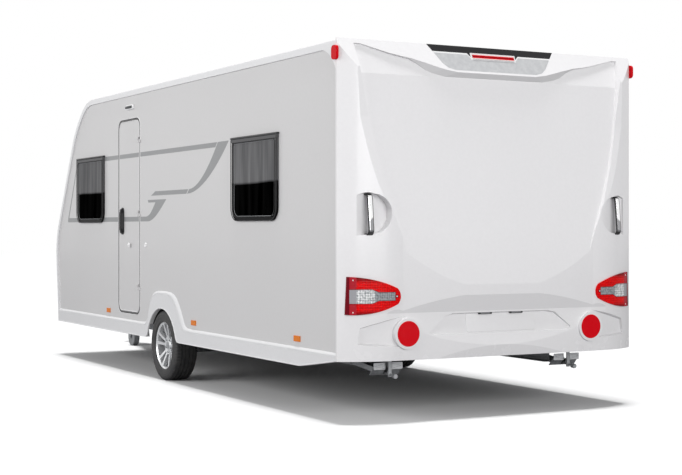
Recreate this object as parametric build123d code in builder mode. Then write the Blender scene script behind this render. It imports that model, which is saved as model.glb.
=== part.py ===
from build123d import *
from math import cos, hypot, radians, sin
import os

os.makedirs("parts", exist_ok=True)

# A single-axle touring caravan, standing on its two wheels and its jockey wheel.
# Millimetres. +X is the towing direction, +Y the left side with the entry door, +Z up, ground at z = 0.
# Stations are distances ahead of the side walls' rear edge.

# Driving dimensions
rear_x = -3605.0
half_width = 1225.0
wall = 27.0
skin = 30.0
floor_thickness = 45.0
floor_bottom = 466.0
floor_front = 6050.0
roof_top = 2560.0
roof_front = 4980.0
skirt_depth = 119.0
trim = 12.0
touch = 0.3
inner_half = half_width - wall
outer_half = half_width + trim
floor_top = floor_bottom + floor_thickness
roof_bottom = roof_top - skin
skirt_bottom = floor_bottom - skirt_depth

# Rear moulding
rear_depth = 160.0
rear_rise = 13.0
rear_drop = 44.0
rear_top = roof_top + rear_rise
rear_bottom = floor_bottom - rear_drop
rear_shell = 14.0

# Running gear
axle_station = 3166.0
tyre_radius = 298.0
tyre_width = 195.0
rim_radius = 210.0
wheel_inset = 117.5
wheel_y = half_width - wheel_inset
arch_radius = 347.0
arch_z = 270.0

# Side windows: station of the centre, width and height over the frame
window_z = 1672.0
frame_width = 30.0
frame_proud = 14.0
frame_lap = 10.0
window_foot_radius = 105.0
window_head_radius = 14.0
side_windows = [
    # name, side, station, width, height
    ("rear_left", 1, 1278, 791, 622),
    ("front_left", 1, 5042, 791, 622),
    ("rear_right", -1, 1278, 791, 622),
    ("kitchen", -1, 3500, 640, 500),
    ("front_right", -1, 5042, 791, 622),
]

# Entry door
door_station = 3984.0
door_width = 520.0
door_bottom = 550.0
door_height = 1733.0
door_gap = 6.0
door_corner = 40.0
door_top = door_bottom + door_height
barrel_radius = 7.0
pin_radius = 3.0
knuckle = 26.0
hinge_stand = 15.0
hinge_y = half_width + hinge_stand
hinge_station = door_station - door_width / 2 - door_gap / 2
hinge_heights = [door_bottom + 230, door_bottom + door_height / 2 + 23, door_top - 183]

# Service hatch in the right wall
hatch_station = 700.0
hatch_width = 340.0
hatch_height = 310.0
hatch_z = 740.0
hatch_corner = 20.0
hatch_barrel = 6.0
hatch_hinge_stand = 12.0
hatch_hinge_y = -half_width - hatch_hinge_stand
hatch_hinge_station = hatch_station + hatch_width / 2 + door_gap / 2

# Gas locker lid, measured up the front panel's lower slope
lid_width = 1500.0
lid_height = 390.0
lid_centre = 285.0
lid_barrel = 6.0

# Drawbar
ball_station = 7300.0
ball_socket = 25.5
arm_height = 90.0
arm_width = 55.0
arm_top = floor_bottom

# Jockey wheel
jockey_station = 6800.0
jockey_y = 160.0
jockey_trail = 55.0
jockey_radius = 100.0

# Corner steadies: name, hinge station, side, direction in which the leg points
steady_pitch = 6.0
steady_hinge_z = 360.0
steady_y = 762.0
steady_arm = 170.0
steadies = [
    ("rear_left", 610, 1, -1),
    ("rear_right", 610, -1, -1),
    ("front_left", 5200, 1, 1),
    ("front_right", 5200, -1, 1),
]


def at(station):
    return rear_x + station


def export(builder, label):
    builder.part.label = label
    export_step(builder.part, f"parts/{label}.step")


def side_plane(y):
    """A plane of X and Z; what is extruded from it goes to the right."""
    return Plane(origin=(0, y, 0), x_dir=(1, 0, 0), z_dir=(0, -1, 0))


def cross_plane(station):
    """A plane of Y and Z; what is extruded from it goes forward."""
    return Plane(origin=(at(station), 0, 0), x_dir=(0, 1, 0), z_dir=(1, 0, 0))


def block(station, y, z, mode=Mode.ADD):
    """A box between pairs of limits."""
    with Locations((at(sum(station) / 2), sum(y) / 2, sum(z) / 2)):
        Box(abs(station[1] - station[0]), abs(y[1] - y[0]), abs(z[1] - z[0]), mode=mode)


# Outline of the body from the side, from the front panel's foot up and back along the roof: station, height
front_foot = (floor_front + 35, floor_bottom)
front_knee = (floor_front + 115, floor_bottom + 724)
front_brow = (roof_front + 550, roof_top - 275)
front_crown = (roof_front + 200, roof_top)
profile_radii = [600, 900, 500]


def inset(points, depth):
    """Corners of the same path moved inwards by depth."""
    moved = []
    for i, (px, pz) in enumerate(points):
        nx = 0
        nz = 0
        legs = 0
        for start in (i - 1, i):
            if 0 <= start < len(points) - 1:
                dx = points[start + 1][0] - points[start][0]
                dz = points[start + 1][1] - points[start][1]
                nx -= dz / hypot(dx, dz)
                nz += dx / hypot(dx, dz)
                legs += 1
        scale = legs * depth / (nx * nx + nz * nz)
        moved.append((px + nx * scale, pz + nz * scale))
    return moved


def profile(depth, rear_end):
    """The outline's corners at a depth under the outer skin, back to a station."""
    corners = [front_foot, front_knee, front_brow, front_crown, (rear_end, roof_top)]
    return [(at(px), pz) for px, pz in inset(corners, depth)]


def profile_strip(y, width, outer_depth, inner_depth, rear_end):
    """The band between two depths under the outline."""
    outer = profile(outer_depth, rear_end)
    inner = profile(inner_depth, rear_end)
    with BuildPart() as band:
        with BuildSketch(side_plane(y)):
            with BuildLine():
                FilletPolyline(*outer, radius=[r - outer_depth for r in profile_radii])
                Line(outer[-1], inner[-1])
                FilletPolyline(*inner, radius=[r - inner_depth for r in profile_radii])
                Line(inner[0], outer[0])
            make_face()
        extrude(amount=width)
    return band.part


# Planes on the front panel: its steep foot and the raked stretch that carries the windows
def slope_plane(low, high, along):
    dx = high[0] - low[0]
    dz = high[1] - low[1]
    run = hypot(dx, dz)
    origin = (at(low[0] + dx * along / run), 0, low[1] + dz * along / run)
    return Plane(origin=origin, x_dir=(0, 1, 0), z_dir=(dz / run, 0, -dx / run))


rake_run = hypot(front_knee[0] - front_brow[0], front_knee[1] - front_brow[1])
foot_plane = slope_plane(front_foot, front_knee, 0)
rake_plane = slope_plane(front_knee, front_brow, rake_run / 2 + 7)
front_windows = [
    # y, width
    (0, 900),
    (half_width - 455, 520),
    (455 - half_width, 520),
]
front_window_height = 580.0
front_window_corner = 50.0


def window_outline(width, height, margin):
    """Outline of a side window moved inwards by a margin: square at the top, well rounded below."""
    x = width / 2 - margin
    z = height / 2 - margin
    foot = window_foot_radius - margin
    head = max(window_head_radius - margin, 3)
    corners = [(-x, -z), (x, -z), (x, z), (-x, z)]
    FilletPolyline(*corners, radius=[foot, foot, head, head], close=True)


# Side walls, split at the door, the windows and the wheel arch
def side_wall(side):
    inner = profile(skin, 0)
    with BuildPart() as panel:
        with BuildSketch(side_plane(half_width if side > 0 else -inner_half)):
            with BuildLine():
                FilletPolyline(*inner, radius=[r - skin for r in profile_radii])
                Line(inner[-1], (at(0), floor_bottom))
                Line((at(0), floor_bottom), inner[0])
            make_face()
            with Locations((at(axle_station), arch_z)):
                Circle(arch_radius, mode=Mode.SUBTRACT)
            if side > 0:
                with Locations((at(door_station), door_bottom + door_height / 2)):
                    door_hole = (door_width + 2 * door_gap, door_height + 2 * door_gap)
                    RectangleRounded(*door_hole, door_corner + door_gap, mode=Mode.SUBTRACT)
            else:
                with Locations((at(hatch_station), hatch_z)):
                    hatch_hole = (hatch_width + 2 * door_gap, hatch_height + 2 * door_gap)
                    RectangleRounded(*hatch_hole, hatch_corner + door_gap, mode=Mode.SUBTRACT)
        extrude(amount=wall)
        for _, window_side, station, width, height in side_windows:
            if window_side == side:
                face = side_plane(half_width if side > 0 else -inner_half)
                with BuildSketch(Plane(origin=face.from_local_coords((at(station), window_z, 0)),
                                       x_dir=face.x_dir, z_dir=face.z_dir)):
                    with BuildLine():
                        window_outline(width, height, frame_width - frame_lap)
                    make_face()
                extrude(amount=wall, mode=Mode.SUBTRACT)
    return panel


side_wall_left = side_wall(1)
export(side_wall_left, "side_wall_left")
side_wall_right = side_wall(-1)
export(side_wall_right, "side_wall_right")

# Floor between the walls, cut round the wheels
well_inner_y = wheel_y - 122.5
well_thickness = 6.0
with BuildPart() as floor_panel:
    block((0, floor_front), (-inner_half, inner_half), (floor_bottom, floor_top))
    for side in (1, -1):
        start = inner_half if side > 0 else -well_inner_y
        with BuildSketch(side_plane(start)):
            with Locations((at(axle_station), arch_z)):
                Circle(arch_radius + well_thickness)
        extrude(amount=inner_half - well_inner_y, mode=Mode.SUBTRACT)
export(floor_panel, "floor_panel")

# Inner wheel housings over the cut-outs
with BuildPart() as wheel_housings:
    for side in (1, -1):
        start = inner_half if side > 0 else -well_inner_y
        with BuildSketch(side_plane(start)):
            with Locations((at(axle_station), arch_z)):
                Circle(arch_radius + well_thickness)
        extrude(amount=inner_half - well_inner_y)
    for side in (1, -1):
        start = inner_half if side > 0 else -well_inner_y - well_thickness
        with BuildSketch(side_plane(start)):
            with Locations((at(axle_station), arch_z)):
                Circle(arch_radius)
        extrude(amount=inner_half - well_inner_y - well_thickness, mode=Mode.SUBTRACT)
    low = (arch_z - arch_radius - 50, floor_bottom)
    block((axle_station - 400, axle_station + 400), (-half_width, half_width), low, mode=Mode.SUBTRACT)
export(wheel_housings, "wheel_housings")

# Roof with two rooflight openings
rooflights_table = [
    # station, length, width, rise
    (1500, 420, 420, 50),
    (3900, 700, 500, 55),
]
with BuildPart() as roof_panel:
    block((0, roof_front), (-half_width, half_width), (roof_bottom, roof_top))
    for station, length, width, _ in rooflights_table:
        hole_x = (station - length / 2 + 30, station + length / 2 - 30)
        hole_y = (-width / 2 + 30, width / 2 - 30)
        block(hole_x, hole_y, (roof_bottom - 5, roof_top + 5), mode=Mode.SUBTRACT)
export(roof_panel, "roof_panel")

# Front panel, raked, with its window openings and the gas locker's opening
front_skin = profile_strip(half_width, 2 * half_width, 0, skin, roof_front)
with BuildPart() as front_panel:
    add(front_skin)
    with BuildSketch(foot_plane.offset(10)):
        with Locations((0, lid_centre)):
            RectangleRounded(lid_width + 2 * door_gap, lid_height + 2 * door_gap, door_corner + door_gap)
    extrude(amount=-2 * skin, mode=Mode.SUBTRACT)
    with BuildSketch(rake_plane.offset(10)):
        for y, width in front_windows:
            with Locations((y, 0)):
                hole = frame_width - frame_lap
                RectangleRounded(width - 2 * hole, front_window_height - 2 * hole, front_window_corner - hole)
    extrude(amount=-2 * skin, mode=Mode.SUBTRACT)
export(front_panel, "front_panel")


# Rear moulding. Its face leans forward under the roof; pillars, bumper and spoiler stand round a sunk shield.
# Heights are measured up from the lower edge or down from the upper one.
corner_reach = 20.0
shoulder_y = half_width - 425
bend_y = half_width - 150
face_profile = [
    # x, height
    (-154, rear_bottom),
    (-163, rear_bottom + 78),
    (-151, rear_bottom + 168),
    (-140, rear_bottom + 316),
    (-rear_depth, rear_bottom + 428),
    (-rear_depth, rear_bottom + 828),
    (-95, rear_top - 523),
    (-88, rear_top - 190),
    (-8, rear_top),
]
shield_profile = [
    # x, height
    (-rear_depth - 1.5, rear_bottom),
    (-rear_depth - 1.5, rear_bottom + 478),
    (-60, rear_top - 230),
    (-34, rear_top - 130),
    (-6, rear_top - 30),
    (-6, rear_top),
]


def rear_form(faces, depth, front=0.0):
    """The moulding's bowed block with a given side profile, moved inwards by a depth, back from a station."""
    edge = outer_half - depth
    corner = min(depth - corner_reach, front - 1)
    shoulder = depth + 17 - rear_depth
    middle = depth - rear_depth - 3
    bend = (at(depth - 105), bend_y - depth)
    flank = shoulder_y - 0.4 * depth
    low = rear_bottom + max(depth, 0)
    high = rear_top - max(depth, 0)
    side = [(at(x + depth), z) for x, z in faces]
    with BuildPart() as form:
        with BuildSketch(Plane.XY.offset(low)):
            with BuildLine():
                Line((at(front), -edge), (at(front), edge))
                Line((at(front), edge), (at(corner), edge))
                ThreePointArc((at(corner), edge), bend, (at(shoulder), flank))
                ThreePointArc((at(shoulder), flank), (at(middle), 0), (at(shoulder), -flank))
                ThreePointArc((at(shoulder), -flank), (bend[0], -bend[1]), (at(corner), -edge))
                Line((at(corner), -edge), (at(front), -edge))
            make_face()
        extrude(amount=high - low)
        with BuildSketch(side_plane(outer_half + trim)):
            with BuildLine():
                Polyline(
                    (at(rear_depth), side[-1][1] + trim),
                    (at(rear_depth), side[0][1] - trim),
                    (side[0][0], side[0][1] - trim),
                    *side,
                    (side[-1][0], side[-1][1] + trim),
                    close=True,
                )
            make_face()
        extrude(amount=2 * (outer_half + trim), mode=Mode.INTERSECT)
    return form.part


def counter_clockwise(corners):
    """The corners of an outline in the order that a tapered extrusion needs."""
    pairs = zip(corners, corners[1:] + corners[:1])
    area = sum(first[0] * second[1] - second[0] * first[1] for first, second in pairs)
    return corners if area > 0 else list(reversed(corners))


def rear_prism(corners, grow, start, length, taper=0):
    """A prism along X over an outline of Y and Z on the rear, its outline widened by a margin."""
    with BuildPart() as prism:
        with BuildSketch(cross_plane(start)):
            with BuildLine():
                Polyline(*counter_clockwise(corners), close=True)
            make_face()
            if grow:
                offset(amount=grow, kind=Kind.INTERSECTION)
        extrude(amount=length, taper=taper)
    return prism.part


# The shield's crease, from its foot up to the roof
crease = [
    # inset from the side wall, height
    (570, rear_bottom + 428),
    (513, rear_bottom + 556),
    (453, rear_bottom + 684),
    (394, rear_bottom + 866),
    (305, rear_bottom + 1079),
    (222, rear_top - 827),
    (167, rear_top - 609),
    (126, rear_top - 398),
    (92, rear_top - 208),
    (60, rear_top - 100),
    (34, rear_top - 20),
    (34, rear_top + 40),
]
crease_taper = 25.0
crease_start = -170.0
crease_end = -4.0
spoiler_edge = [
    # inset from the side wall, height
    (60, rear_top + 120),
    (60, rear_top - 20),
    (162, rear_top - 31),
    (370, rear_top - 83),
    (528, rear_top - 114),
    (592, rear_top - 144),
    (688, rear_top - 207),
    (785, rear_top - 237),
]
spoiler_taper = 48.0
spoiler_root = -48.0
recess_top_y = half_width - 779
recess_foot_y = half_width - 625
plate_recess = [
    # half width, height
    (recess_top_y, rear_bottom + 313),
    (recess_foot_y, rear_bottom + 190),
    (recess_foot_y, rear_bottom + 156),
]
scoop_edge = [
    # inset from the side wall, height
    (98, rear_bottom + 246),
    (519, rear_bottom + 326),
    (557, rear_bottom + 220),
    (585, rear_bottom + 83),
    (75, rear_bottom + 83),
    (77, rear_bottom + 146),
]


def both_sides(table):
    """A table of insets and heights as a closed outline over both sides."""
    left = [(half_width - y, z) for y, z in table]
    return [(-y, z) for y, z in left] + list(reversed(left))


def shield_cut(depth):
    """What is taken out of the face inside the crease."""
    prism = rear_prism(both_sides(crease), depth, crease_start, crease_end - crease_start, crease_taper)
    with BuildPart() as cut:
        add(prism)
        add(rear_form(shield_profile, depth), mode=Mode.SUBTRACT)
    return cut.part


def recess_cut(depth):
    """The sunk place for the number plate, deepest at its top."""
    outline = [(-y, z) for y, z in plate_recess] + [(y, z) for y, z in reversed(plate_recess)]
    prism = rear_prism(outline, depth, -rear_depth - 20, 120, 12)
    top = rear_bottom + 313 + 3 * depth
    foot = rear_bottom + 156 - 3 * depth
    with BuildPart() as cut:
        add(prism)
        with BuildSketch(side_plane(half_width)):
            with BuildLine():
                Polyline(
                    (at(-220), top),
                    (at(depth - 116), top),
                    (at(depth - 146), foot),
                    (at(-220), foot),
                    close=True,
                )
            make_face()
        extrude(amount=2 * half_width, mode=Mode.INTERSECT)
    return cut.part


def scoop_cut(depth, side):
    """The hollow under a tail lamp, which deepens towards the corner."""
    outline = [(side * (half_width - y), z) for y, z in scoop_edge]
    prism = rear_prism(outline, depth, -rear_depth - 20, 170, 18)
    near = half_width - 585
    far = half_width - 60
    with BuildPart() as cut:
        add(prism)
        with BuildSketch(Plane.XY.offset(rear_bottom - 60)):
            with BuildLine():
                Polyline(
                    (at(-220), side * (near - 60)),
                    (at(depth - 184), side * (near - 60)),
                    (at(depth - 172), side * near),
                    (at(depth - 60), side * far),
                    (at(depth - 45), side * (far + 90)),
                    (at(-220), side * (far + 90)),
                    close=True,
                )
            make_face()
        extrude(amount=500, mode=Mode.INTERSECT)
    return cut.part


lamp_seat = 8.0
lamp_proud = 8.0
reflector_y = half_width - 457
reflector_z = rear_bottom + 178
reflector_radius = 86.0
reflector_rim = 105.0
reflector_face = -162.0
reflector_sink = 6.0


def lamp_outline(side):
    """Bullet-shaped prism of one tail lamp, its point turned inwards."""
    outer = half_width - 35
    tip = half_width - 403
    foot = rear_bottom + 311
    with BuildPart() as prism:
        with BuildSketch(cross_plane(-rear_depth - 40)):
            with BuildLine():
                head = ((outer - 5) * side, foot + 252)
                upper = ((tip + 28) * side, foot + 175)
                lower = ((tip + 23) * side, foot + 67)
                ThreePointArc(head, ((outer - 180) * side, foot + 229), upper)
                ThreePointArc(upper, (tip * side, foot + 125), lower)
                ThreePointArc(lower, ((outer - 190) * side, foot + 14), ((outer + 5) * side, foot))
                Line(((outer + 5) * side, foot), head)
            make_face()
        extrude(amount=rear_depth + 30)
    return prism.part


grip_y = half_width - 183
grip_z = rear_bottom + 978
grip_height = 290.0
grip_floor = -72.0
grip_wall = 12.0


def grip_outline(side, grow):
    """Prism of the hand recess: straight on the outer side, bellied towards the middle."""
    out = half_width - 101 + grow
    low = grip_z - grip_height / 2 - grow
    high = grip_z + grip_height / 2 + grow
    belly = grip_y - 158 - grow
    with BuildPart() as prism:
        with BuildSketch(cross_plane(-rear_depth - 20)):
            with BuildLine():
                straight = (side * out, low + 4)
                corner = (side * out, high - 20)
                head = (side * (out - 115), high - 8)
                foot = (side * (out - 125), low + 16)
                Line(straight, corner)
                ThreePointArc(corner, (side * (out - 55), high), head)
                ThreePointArc(head, (side * belly, grip_z - 5), foot)
                Line(foot, straight)
            make_face()
        extrude(amount=rear_depth + 20 + grip_floor + (grip_wall if grow else 0))
    return prism.part


rear_outer = rear_form(face_profile, 0)
rear_inner = rear_form(face_profile, rear_shell, -8.0)
seat_depth = rear_form(face_profile, lamp_seat)
lamp_front = rear_form(face_profile, -lamp_proud)
lamps = [lamp_outline(side) for side in (1, -1)]

with BuildPart() as spoiler:
    add(rear_prism(both_sides(spoiler_edge), 0, spoiler_root, -120, spoiler_taper))
    add(rear_prism(both_sides(spoiler_edge), 0, spoiler_root, -spoiler_root))
    add(rear_outer, mode=Mode.INTERSECT)

with BuildPart() as rear_hollow:
    add(rear_inner)
    add(shield_cut(rear_shell), mode=Mode.SUBTRACT)
    add(recess_cut(rear_shell), mode=Mode.SUBTRACT)
    for side in (1, -1):
        add(scoop_cut(rear_shell, side), mode=Mode.SUBTRACT)

with BuildPart() as lamp_seats:
    for lamp in lamps:
        add(lamp)
    add(seat_depth, mode=Mode.SUBTRACT)

with BuildPart() as grip_pans:
    for side in (1, -1):
        add(grip_outline(side, grip_wall))
    add(rear_outer, mode=Mode.INTERSECT)

# The inlay on the spoiler's face
inlay_edge = [
    # half width, under the upper edge
    (548, -18),
    (486, 63),
    (436, 130),
    (396, 162),
    (340, 176),
]
inlay_seat = 4.0
inlay_half = [(y, rear_top - z) for y, z in inlay_edge]
inlay_outline = inlay_half + [(-y, z) for y, z in reversed(inlay_half)]
inlay_prism = rear_prism(inlay_outline, 0, -rear_depth - 20, rear_depth + 19)
inlay_front = rear_form(face_profile, -1)
inlay_back = rear_form(face_profile, inlay_seat)

with BuildPart() as inlay_pocket:
    add(inlay_prism)
    add(inlay_back, mode=Mode.SUBTRACT)

with BuildPart() as rear_panel:
    add(rear_outer)
    add(shield_cut(0), mode=Mode.SUBTRACT)
    add(recess_cut(0), mode=Mode.SUBTRACT)
    for side in (1, -1):
        add(scoop_cut(0, side), mode=Mode.SUBTRACT)
    add(spoiler.part)
    add(rear_hollow.part, mode=Mode.SUBTRACT)
    add(grip_pans.part)
    block((0, wall), (-inner_half, inner_half), (floor_top, roof_bottom))
    with BuildSketch(cross_plane(reflector_face)):
        with Locations((reflector_y, reflector_z), (-reflector_y, reflector_z)):
            Circle(reflector_rim)
    extrude(amount=60)
    with BuildSketch(cross_plane(reflector_face)):
        with Locations((reflector_y, reflector_z), (-reflector_y, reflector_z)):
            Circle(reflector_radius + touch)
    extrude(amount=reflector_sink, mode=Mode.SUBTRACT)
    add(lamp_seats.part, mode=Mode.SUBTRACT)
    for side in (1, -1):
        add(grip_outline(side, 0), mode=Mode.SUBTRACT)
    add(inlay_pocket.part, mode=Mode.SUBTRACT)
export(rear_panel, "rear_panel")

with BuildPart() as high_level_panel:
    add(inlay_prism)
    add(inlay_front, mode=Mode.INTERSECT)
    add(inlay_back, mode=Mode.SUBTRACT)
export(high_level_panel, "high_level_panel")

brake_lamp_half = 175.0
brake_lamp_z = (rear_top - 85, rear_top - 47)
with BuildPart() as brake_lamp:
    block((-rear_depth - 20, -5), (-brake_lamp_half, brake_lamp_half), brake_lamp_z)
    add(rear_form(face_profile, -8), mode=Mode.INTERSECT)
    add(inlay_front, mode=Mode.SUBTRACT)
export(brake_lamp, "brake_lamp")

with BuildPart() as tail_lamps:
    for lamp in lamps:
        add(lamp)
    add(lamp_front, mode=Mode.INTERSECT)
    add(seat_depth, mode=Mode.SUBTRACT)
export(tail_lamps, "tail_lamps")

reflector_lens = 9.0
with BuildPart() as round_reflectors:
    with BuildSketch(cross_plane(reflector_face + reflector_sink)):
        with Locations((reflector_y, reflector_z), (-reflector_y, reflector_z)):
            Circle(reflector_radius)
    extrude(amount=-reflector_lens)
    lens_edges = round_reflectors.faces().filter_by(Plane.YZ).group_by(Axis.X)[0].edges()
    fillet(lens_edges, radius=3)
export(round_reflectors, "round_reflectors")

# Rails and edge trims along the roof and down the front corners, with a gusset over the rear top corners
rail_left = profile_strip(outer_half, trim, 8, 52, 0)
rail_right = profile_strip(-half_width, trim, 8, 52, 0)
with BuildPart() as roof_rails:
    add(rail_left)
    add(rail_right)
    for y in (outer_half, -half_width):
        with BuildSketch(side_plane(y)):
            with BuildLine():
                Line((at(0), roof_top - 52), (at(185), roof_top - 52))
                ThreePointArc((at(185), roof_top - 52), (at(65), 2450), (at(0), 2365))
                Line((at(0), 2365), (at(0), roof_top - 52))
            make_face()
        extrude(amount=trim)
export(roof_rails, "roof_rails")

# Skirts under the side walls, ahead of and behind the wheel arches
skirt_gap = 350.0
with BuildPart() as side_skirts:
    for side in (1, -1):
        for start, end in ((0, axle_station - skirt_gap), (axle_station + skirt_gap, front_foot[0])):
            with BuildSketch(cross_plane(start)):
                with BuildLine():
                    Polyline(
                        (side * inner_half, floor_bottom),
                        (side * outer_half, floor_bottom),
                        (side * outer_half, floor_bottom - 16),
                        (side * (half_width - 6), skirt_bottom),
                        (side * inner_half, skirt_bottom),
                        close=True,
                    )
                make_face()
            extrude(amount=end - start)
export(side_skirts, "side_skirts")

# Wheel spats on the wall round each arch
with BuildPart() as wheel_spats:
    for y in (outer_half + 3, -half_width):
        with BuildSketch(side_plane(y)):
            with BuildLine():
                Polyline(
                    (at(axle_station + 350), floor_bottom),
                    (at(axle_station + 310), 560),
                    (at(axle_station + 235), 735),
                    (at(axle_station + 150), 766),
                    (at(axle_station - 115), 766),
                    (at(axle_station - 230), 745),
                    (at(axle_station - 330), 690),
                    (at(axle_station - 425), 545),
                    (at(axle_station - 490), floor_bottom),
                    close=True,
                )
            make_face()
            with Locations((at(axle_station), arch_z)):
                Circle(arch_radius, mode=Mode.SUBTRACT)
        extrude(amount=trim + 3)
export(wheel_spats, "wheel_spats")

# Window frames and panes
pane_back = 4.0
pane_thickness = 12.0
pane_corner = 28.0
head_rail = 24.0
head_rail_proud = 22.0


def side_window(side, station, width, height, margin, start, thickness):
    """A slab over a side window's outline, from a distance outside the wall inwards."""
    face = side_plane(half_width + start if side > 0 else -half_width - start + thickness)
    centre = face.from_local_coords((at(station), window_z, 0))
    with BuildPart() as slab:
        with BuildSketch(Plane(origin=centre, x_dir=face.x_dir, z_dir=face.z_dir)):
            with BuildLine():
                window_outline(width, height, margin)
            make_face()
        extrude(amount=thickness)
    return slab.part


frame_slabs = [side_window(*row[1:], 0, frame_proud, frame_proud) for row in side_windows]
frame_holes = [side_window(*row[1:], frame_width, frame_proud + 1, frame_proud + 2) for row in side_windows]
pane_front = pane_thickness - pane_back
pane_slabs = [side_window(*row[1:], frame_width, pane_front, pane_thickness) for row in side_windows]
with BuildPart() as window_frames:
    for slab in frame_slabs:
        add(slab)
    for slab in frame_holes:
        add(slab, mode=Mode.SUBTRACT)
    for _, side, station, width, height in side_windows:
        rail = (station - width / 2 - 4, station + width / 2 + 4)
        top = window_z + height / 2
        block(rail, (side * half_width, side * (half_width + head_rail_proud)), (top - head_rail, top + 4))
    with BuildSketch(rake_plane):
        for y, width in front_windows:
            with Locations((y, 0)):
                RectangleRounded(width, front_window_height, front_window_corner)
                inner = (width - 2 * frame_width, front_window_height - 2 * frame_width)
                RectangleRounded(*inner, pane_corner, mode=Mode.SUBTRACT)
    extrude(amount=frame_proud)
export(window_frames, "window_frames")

with BuildPart() as window_panes:
    for slab in pane_slabs:
        add(slab)
    with BuildSketch(rake_plane.offset(-pane_back)):
        for y, width in front_windows:
            with Locations((y, 0)):
                inner = (width - 2 * frame_width, front_window_height - 2 * frame_width)
                RectangleRounded(*inner, pane_corner)
    extrude(amount=pane_thickness)
export(window_panes, "window_panes")

# Rooflights
with BuildPart() as rooflights:
    for station, length, width, rise in rooflights_table:
        with BuildSketch(Plane.XY.offset(roof_top)):
            with Locations((at(station), 0)):
                RectangleRounded(length, width, 40)
        extrude(amount=rise, taper=14)
        block(
            (station - length / 2 + 60, station + length / 2 - 60),
            (-width / 2 + 60, width / 2 - 60),
            (roof_top - 5, roof_top + rise - 6),
            mode=Mode.SUBTRACT,
        )
export(rooflights, "rooflights")

# Entry door: slab with its hinge barrels; the wall carries the other half of each hinge
with BuildPart() as entry_door:
    with BuildSketch(side_plane(half_width)):
        with Locations((at(door_station), door_bottom + door_height / 2)):
            RectangleRounded(door_width, door_height, door_corner)
    extrude(amount=wall)
    for z in hinge_heights:
        leaf = (hinge_station, hinge_station + 40)
        block(leaf, (half_width, hinge_y - barrel_radius + 2), (z + 1, z + knuckle))
        with BuildSketch(Plane.XY.offset(z + 1)):
            with Locations((at(hinge_station), hinge_y)):
                Circle(barrel_radius)
        extrude(amount=knuckle - 1)
        block((hinge_station, hinge_station + barrel_radius), (half_width, hinge_y), (z + 1, z + knuckle))
        with BuildSketch(Plane.XY.offset(z - 1)):
            with Locations((at(hinge_station), hinge_y)):
                Circle(pin_radius + 0.4)
        extrude(amount=knuckle - 4, mode=Mode.SUBTRACT)
export(entry_door, "entry_door")

handle_station = door_station + door_width / 2 - 94
handle_z = door_bottom + 823.0
handle_height = 247.0
handle_width = 84.0
handle_proud = 28.0
grab_width = 28.0
with BuildPart() as door_handle:
    with BuildSketch(side_plane(half_width + 6)):
        with Locations((at(handle_station), handle_z)):
            RectangleRounded(handle_width, handle_height, handle_width / 2 - 4)
    extrude(amount=6)
    with BuildSketch(cross_plane(handle_station - grab_width / 2)):
        with BuildLine():
            low = handle_z - handle_height / 2 + 10
            high = handle_z + handle_height / 2 - 10
            Polyline(
                (half_width + 6, low),
                (half_width + handle_proud - 6, low + 4),
                (half_width + handle_proud, low + 40),
                (half_width + handle_proud, high - 40),
                (half_width + handle_proud - 6, high - 4),
                (half_width + 6, high),
                (half_width + 6, high - 30),
                (half_width + 17, high - 46),
                (half_width + 17, low + 46),
                (half_width + 6, low + 30),
                close=True,
            )
        make_face()
    extrude(amount=grab_width)
export(door_handle, "door_handle")

# Service hatch door with its barrels
hatch_hinges = [hatch_z - hatch_height / 2 + 65, hatch_z + hatch_height / 2 - 65]
with BuildPart() as service_hatch:
    with BuildSketch(side_plane(-inner_half)):
        with Locations((at(hatch_station), hatch_z)):
            RectangleRounded(hatch_width, hatch_height, hatch_corner)
    extrude(amount=wall)
    for z in hatch_hinges:
        leaf = (hatch_hinge_station - 30, hatch_hinge_station)
        block(leaf, (-half_width - 8, -half_width), (z + 1, z + 22))
        with BuildSketch(Plane.XY.offset(z + 1)):
            with Locations((at(hatch_hinge_station), hatch_hinge_y)):
                Circle(hatch_barrel)
        extrude(amount=21)
        with BuildSketch(Plane.XY.offset(z - 1)):
            with Locations((at(hatch_hinge_station), hatch_hinge_y)):
                Circle(pin_radius + 0.4)
        extrude(amount=19, mode=Mode.SUBTRACT)
export(service_hatch, "service_hatch")

# Fridge vents in the right wall
vent_station = 2385.0
vent_width = 470.0
vent_height = 240.0
vent_heights = [760.0, 1500.0]
vent_pitch = 30.0
vent_slots = 7
with BuildPart() as wall_vents:
    for z in vent_heights:
        frame = (vent_station - vent_width / 2, vent_station + vent_width / 2)
        block(frame, (-half_width - 14, -half_width), (z - vent_height / 2, z + vent_height / 2))
        for i in range(vent_slots):
            slot = z + vent_pitch * (i - (vent_slots - 1) / 2)
            slot_z = (slot - 8, slot + 8)
            slot = (frame[0] + 30, frame[1] - 30)
            block(slot, (-half_width - 16, -half_width - 6), slot_z, mode=Mode.SUBTRACT)
export(wall_vents, "wall_vents")

# Gas locker lid, hinged along its top
lid_top = lid_centre + lid_height / 2
lid_hinge_s = lid_top + door_gap / 2
lid_hinge_out = 10.0
lid_hinge_y = lid_width / 2 - 190
lid_knuckle = 60.0


def lid_hinge_plane(y):
    """A plane across the lid's hinge line; what is extruded from it goes to the left."""
    origin = foot_plane.from_local_coords((y, lid_hinge_s, lid_hinge_out))
    return Plane(origin=origin, x_dir=(1, 0, 0), z_dir=(0, 1, 0))


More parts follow.
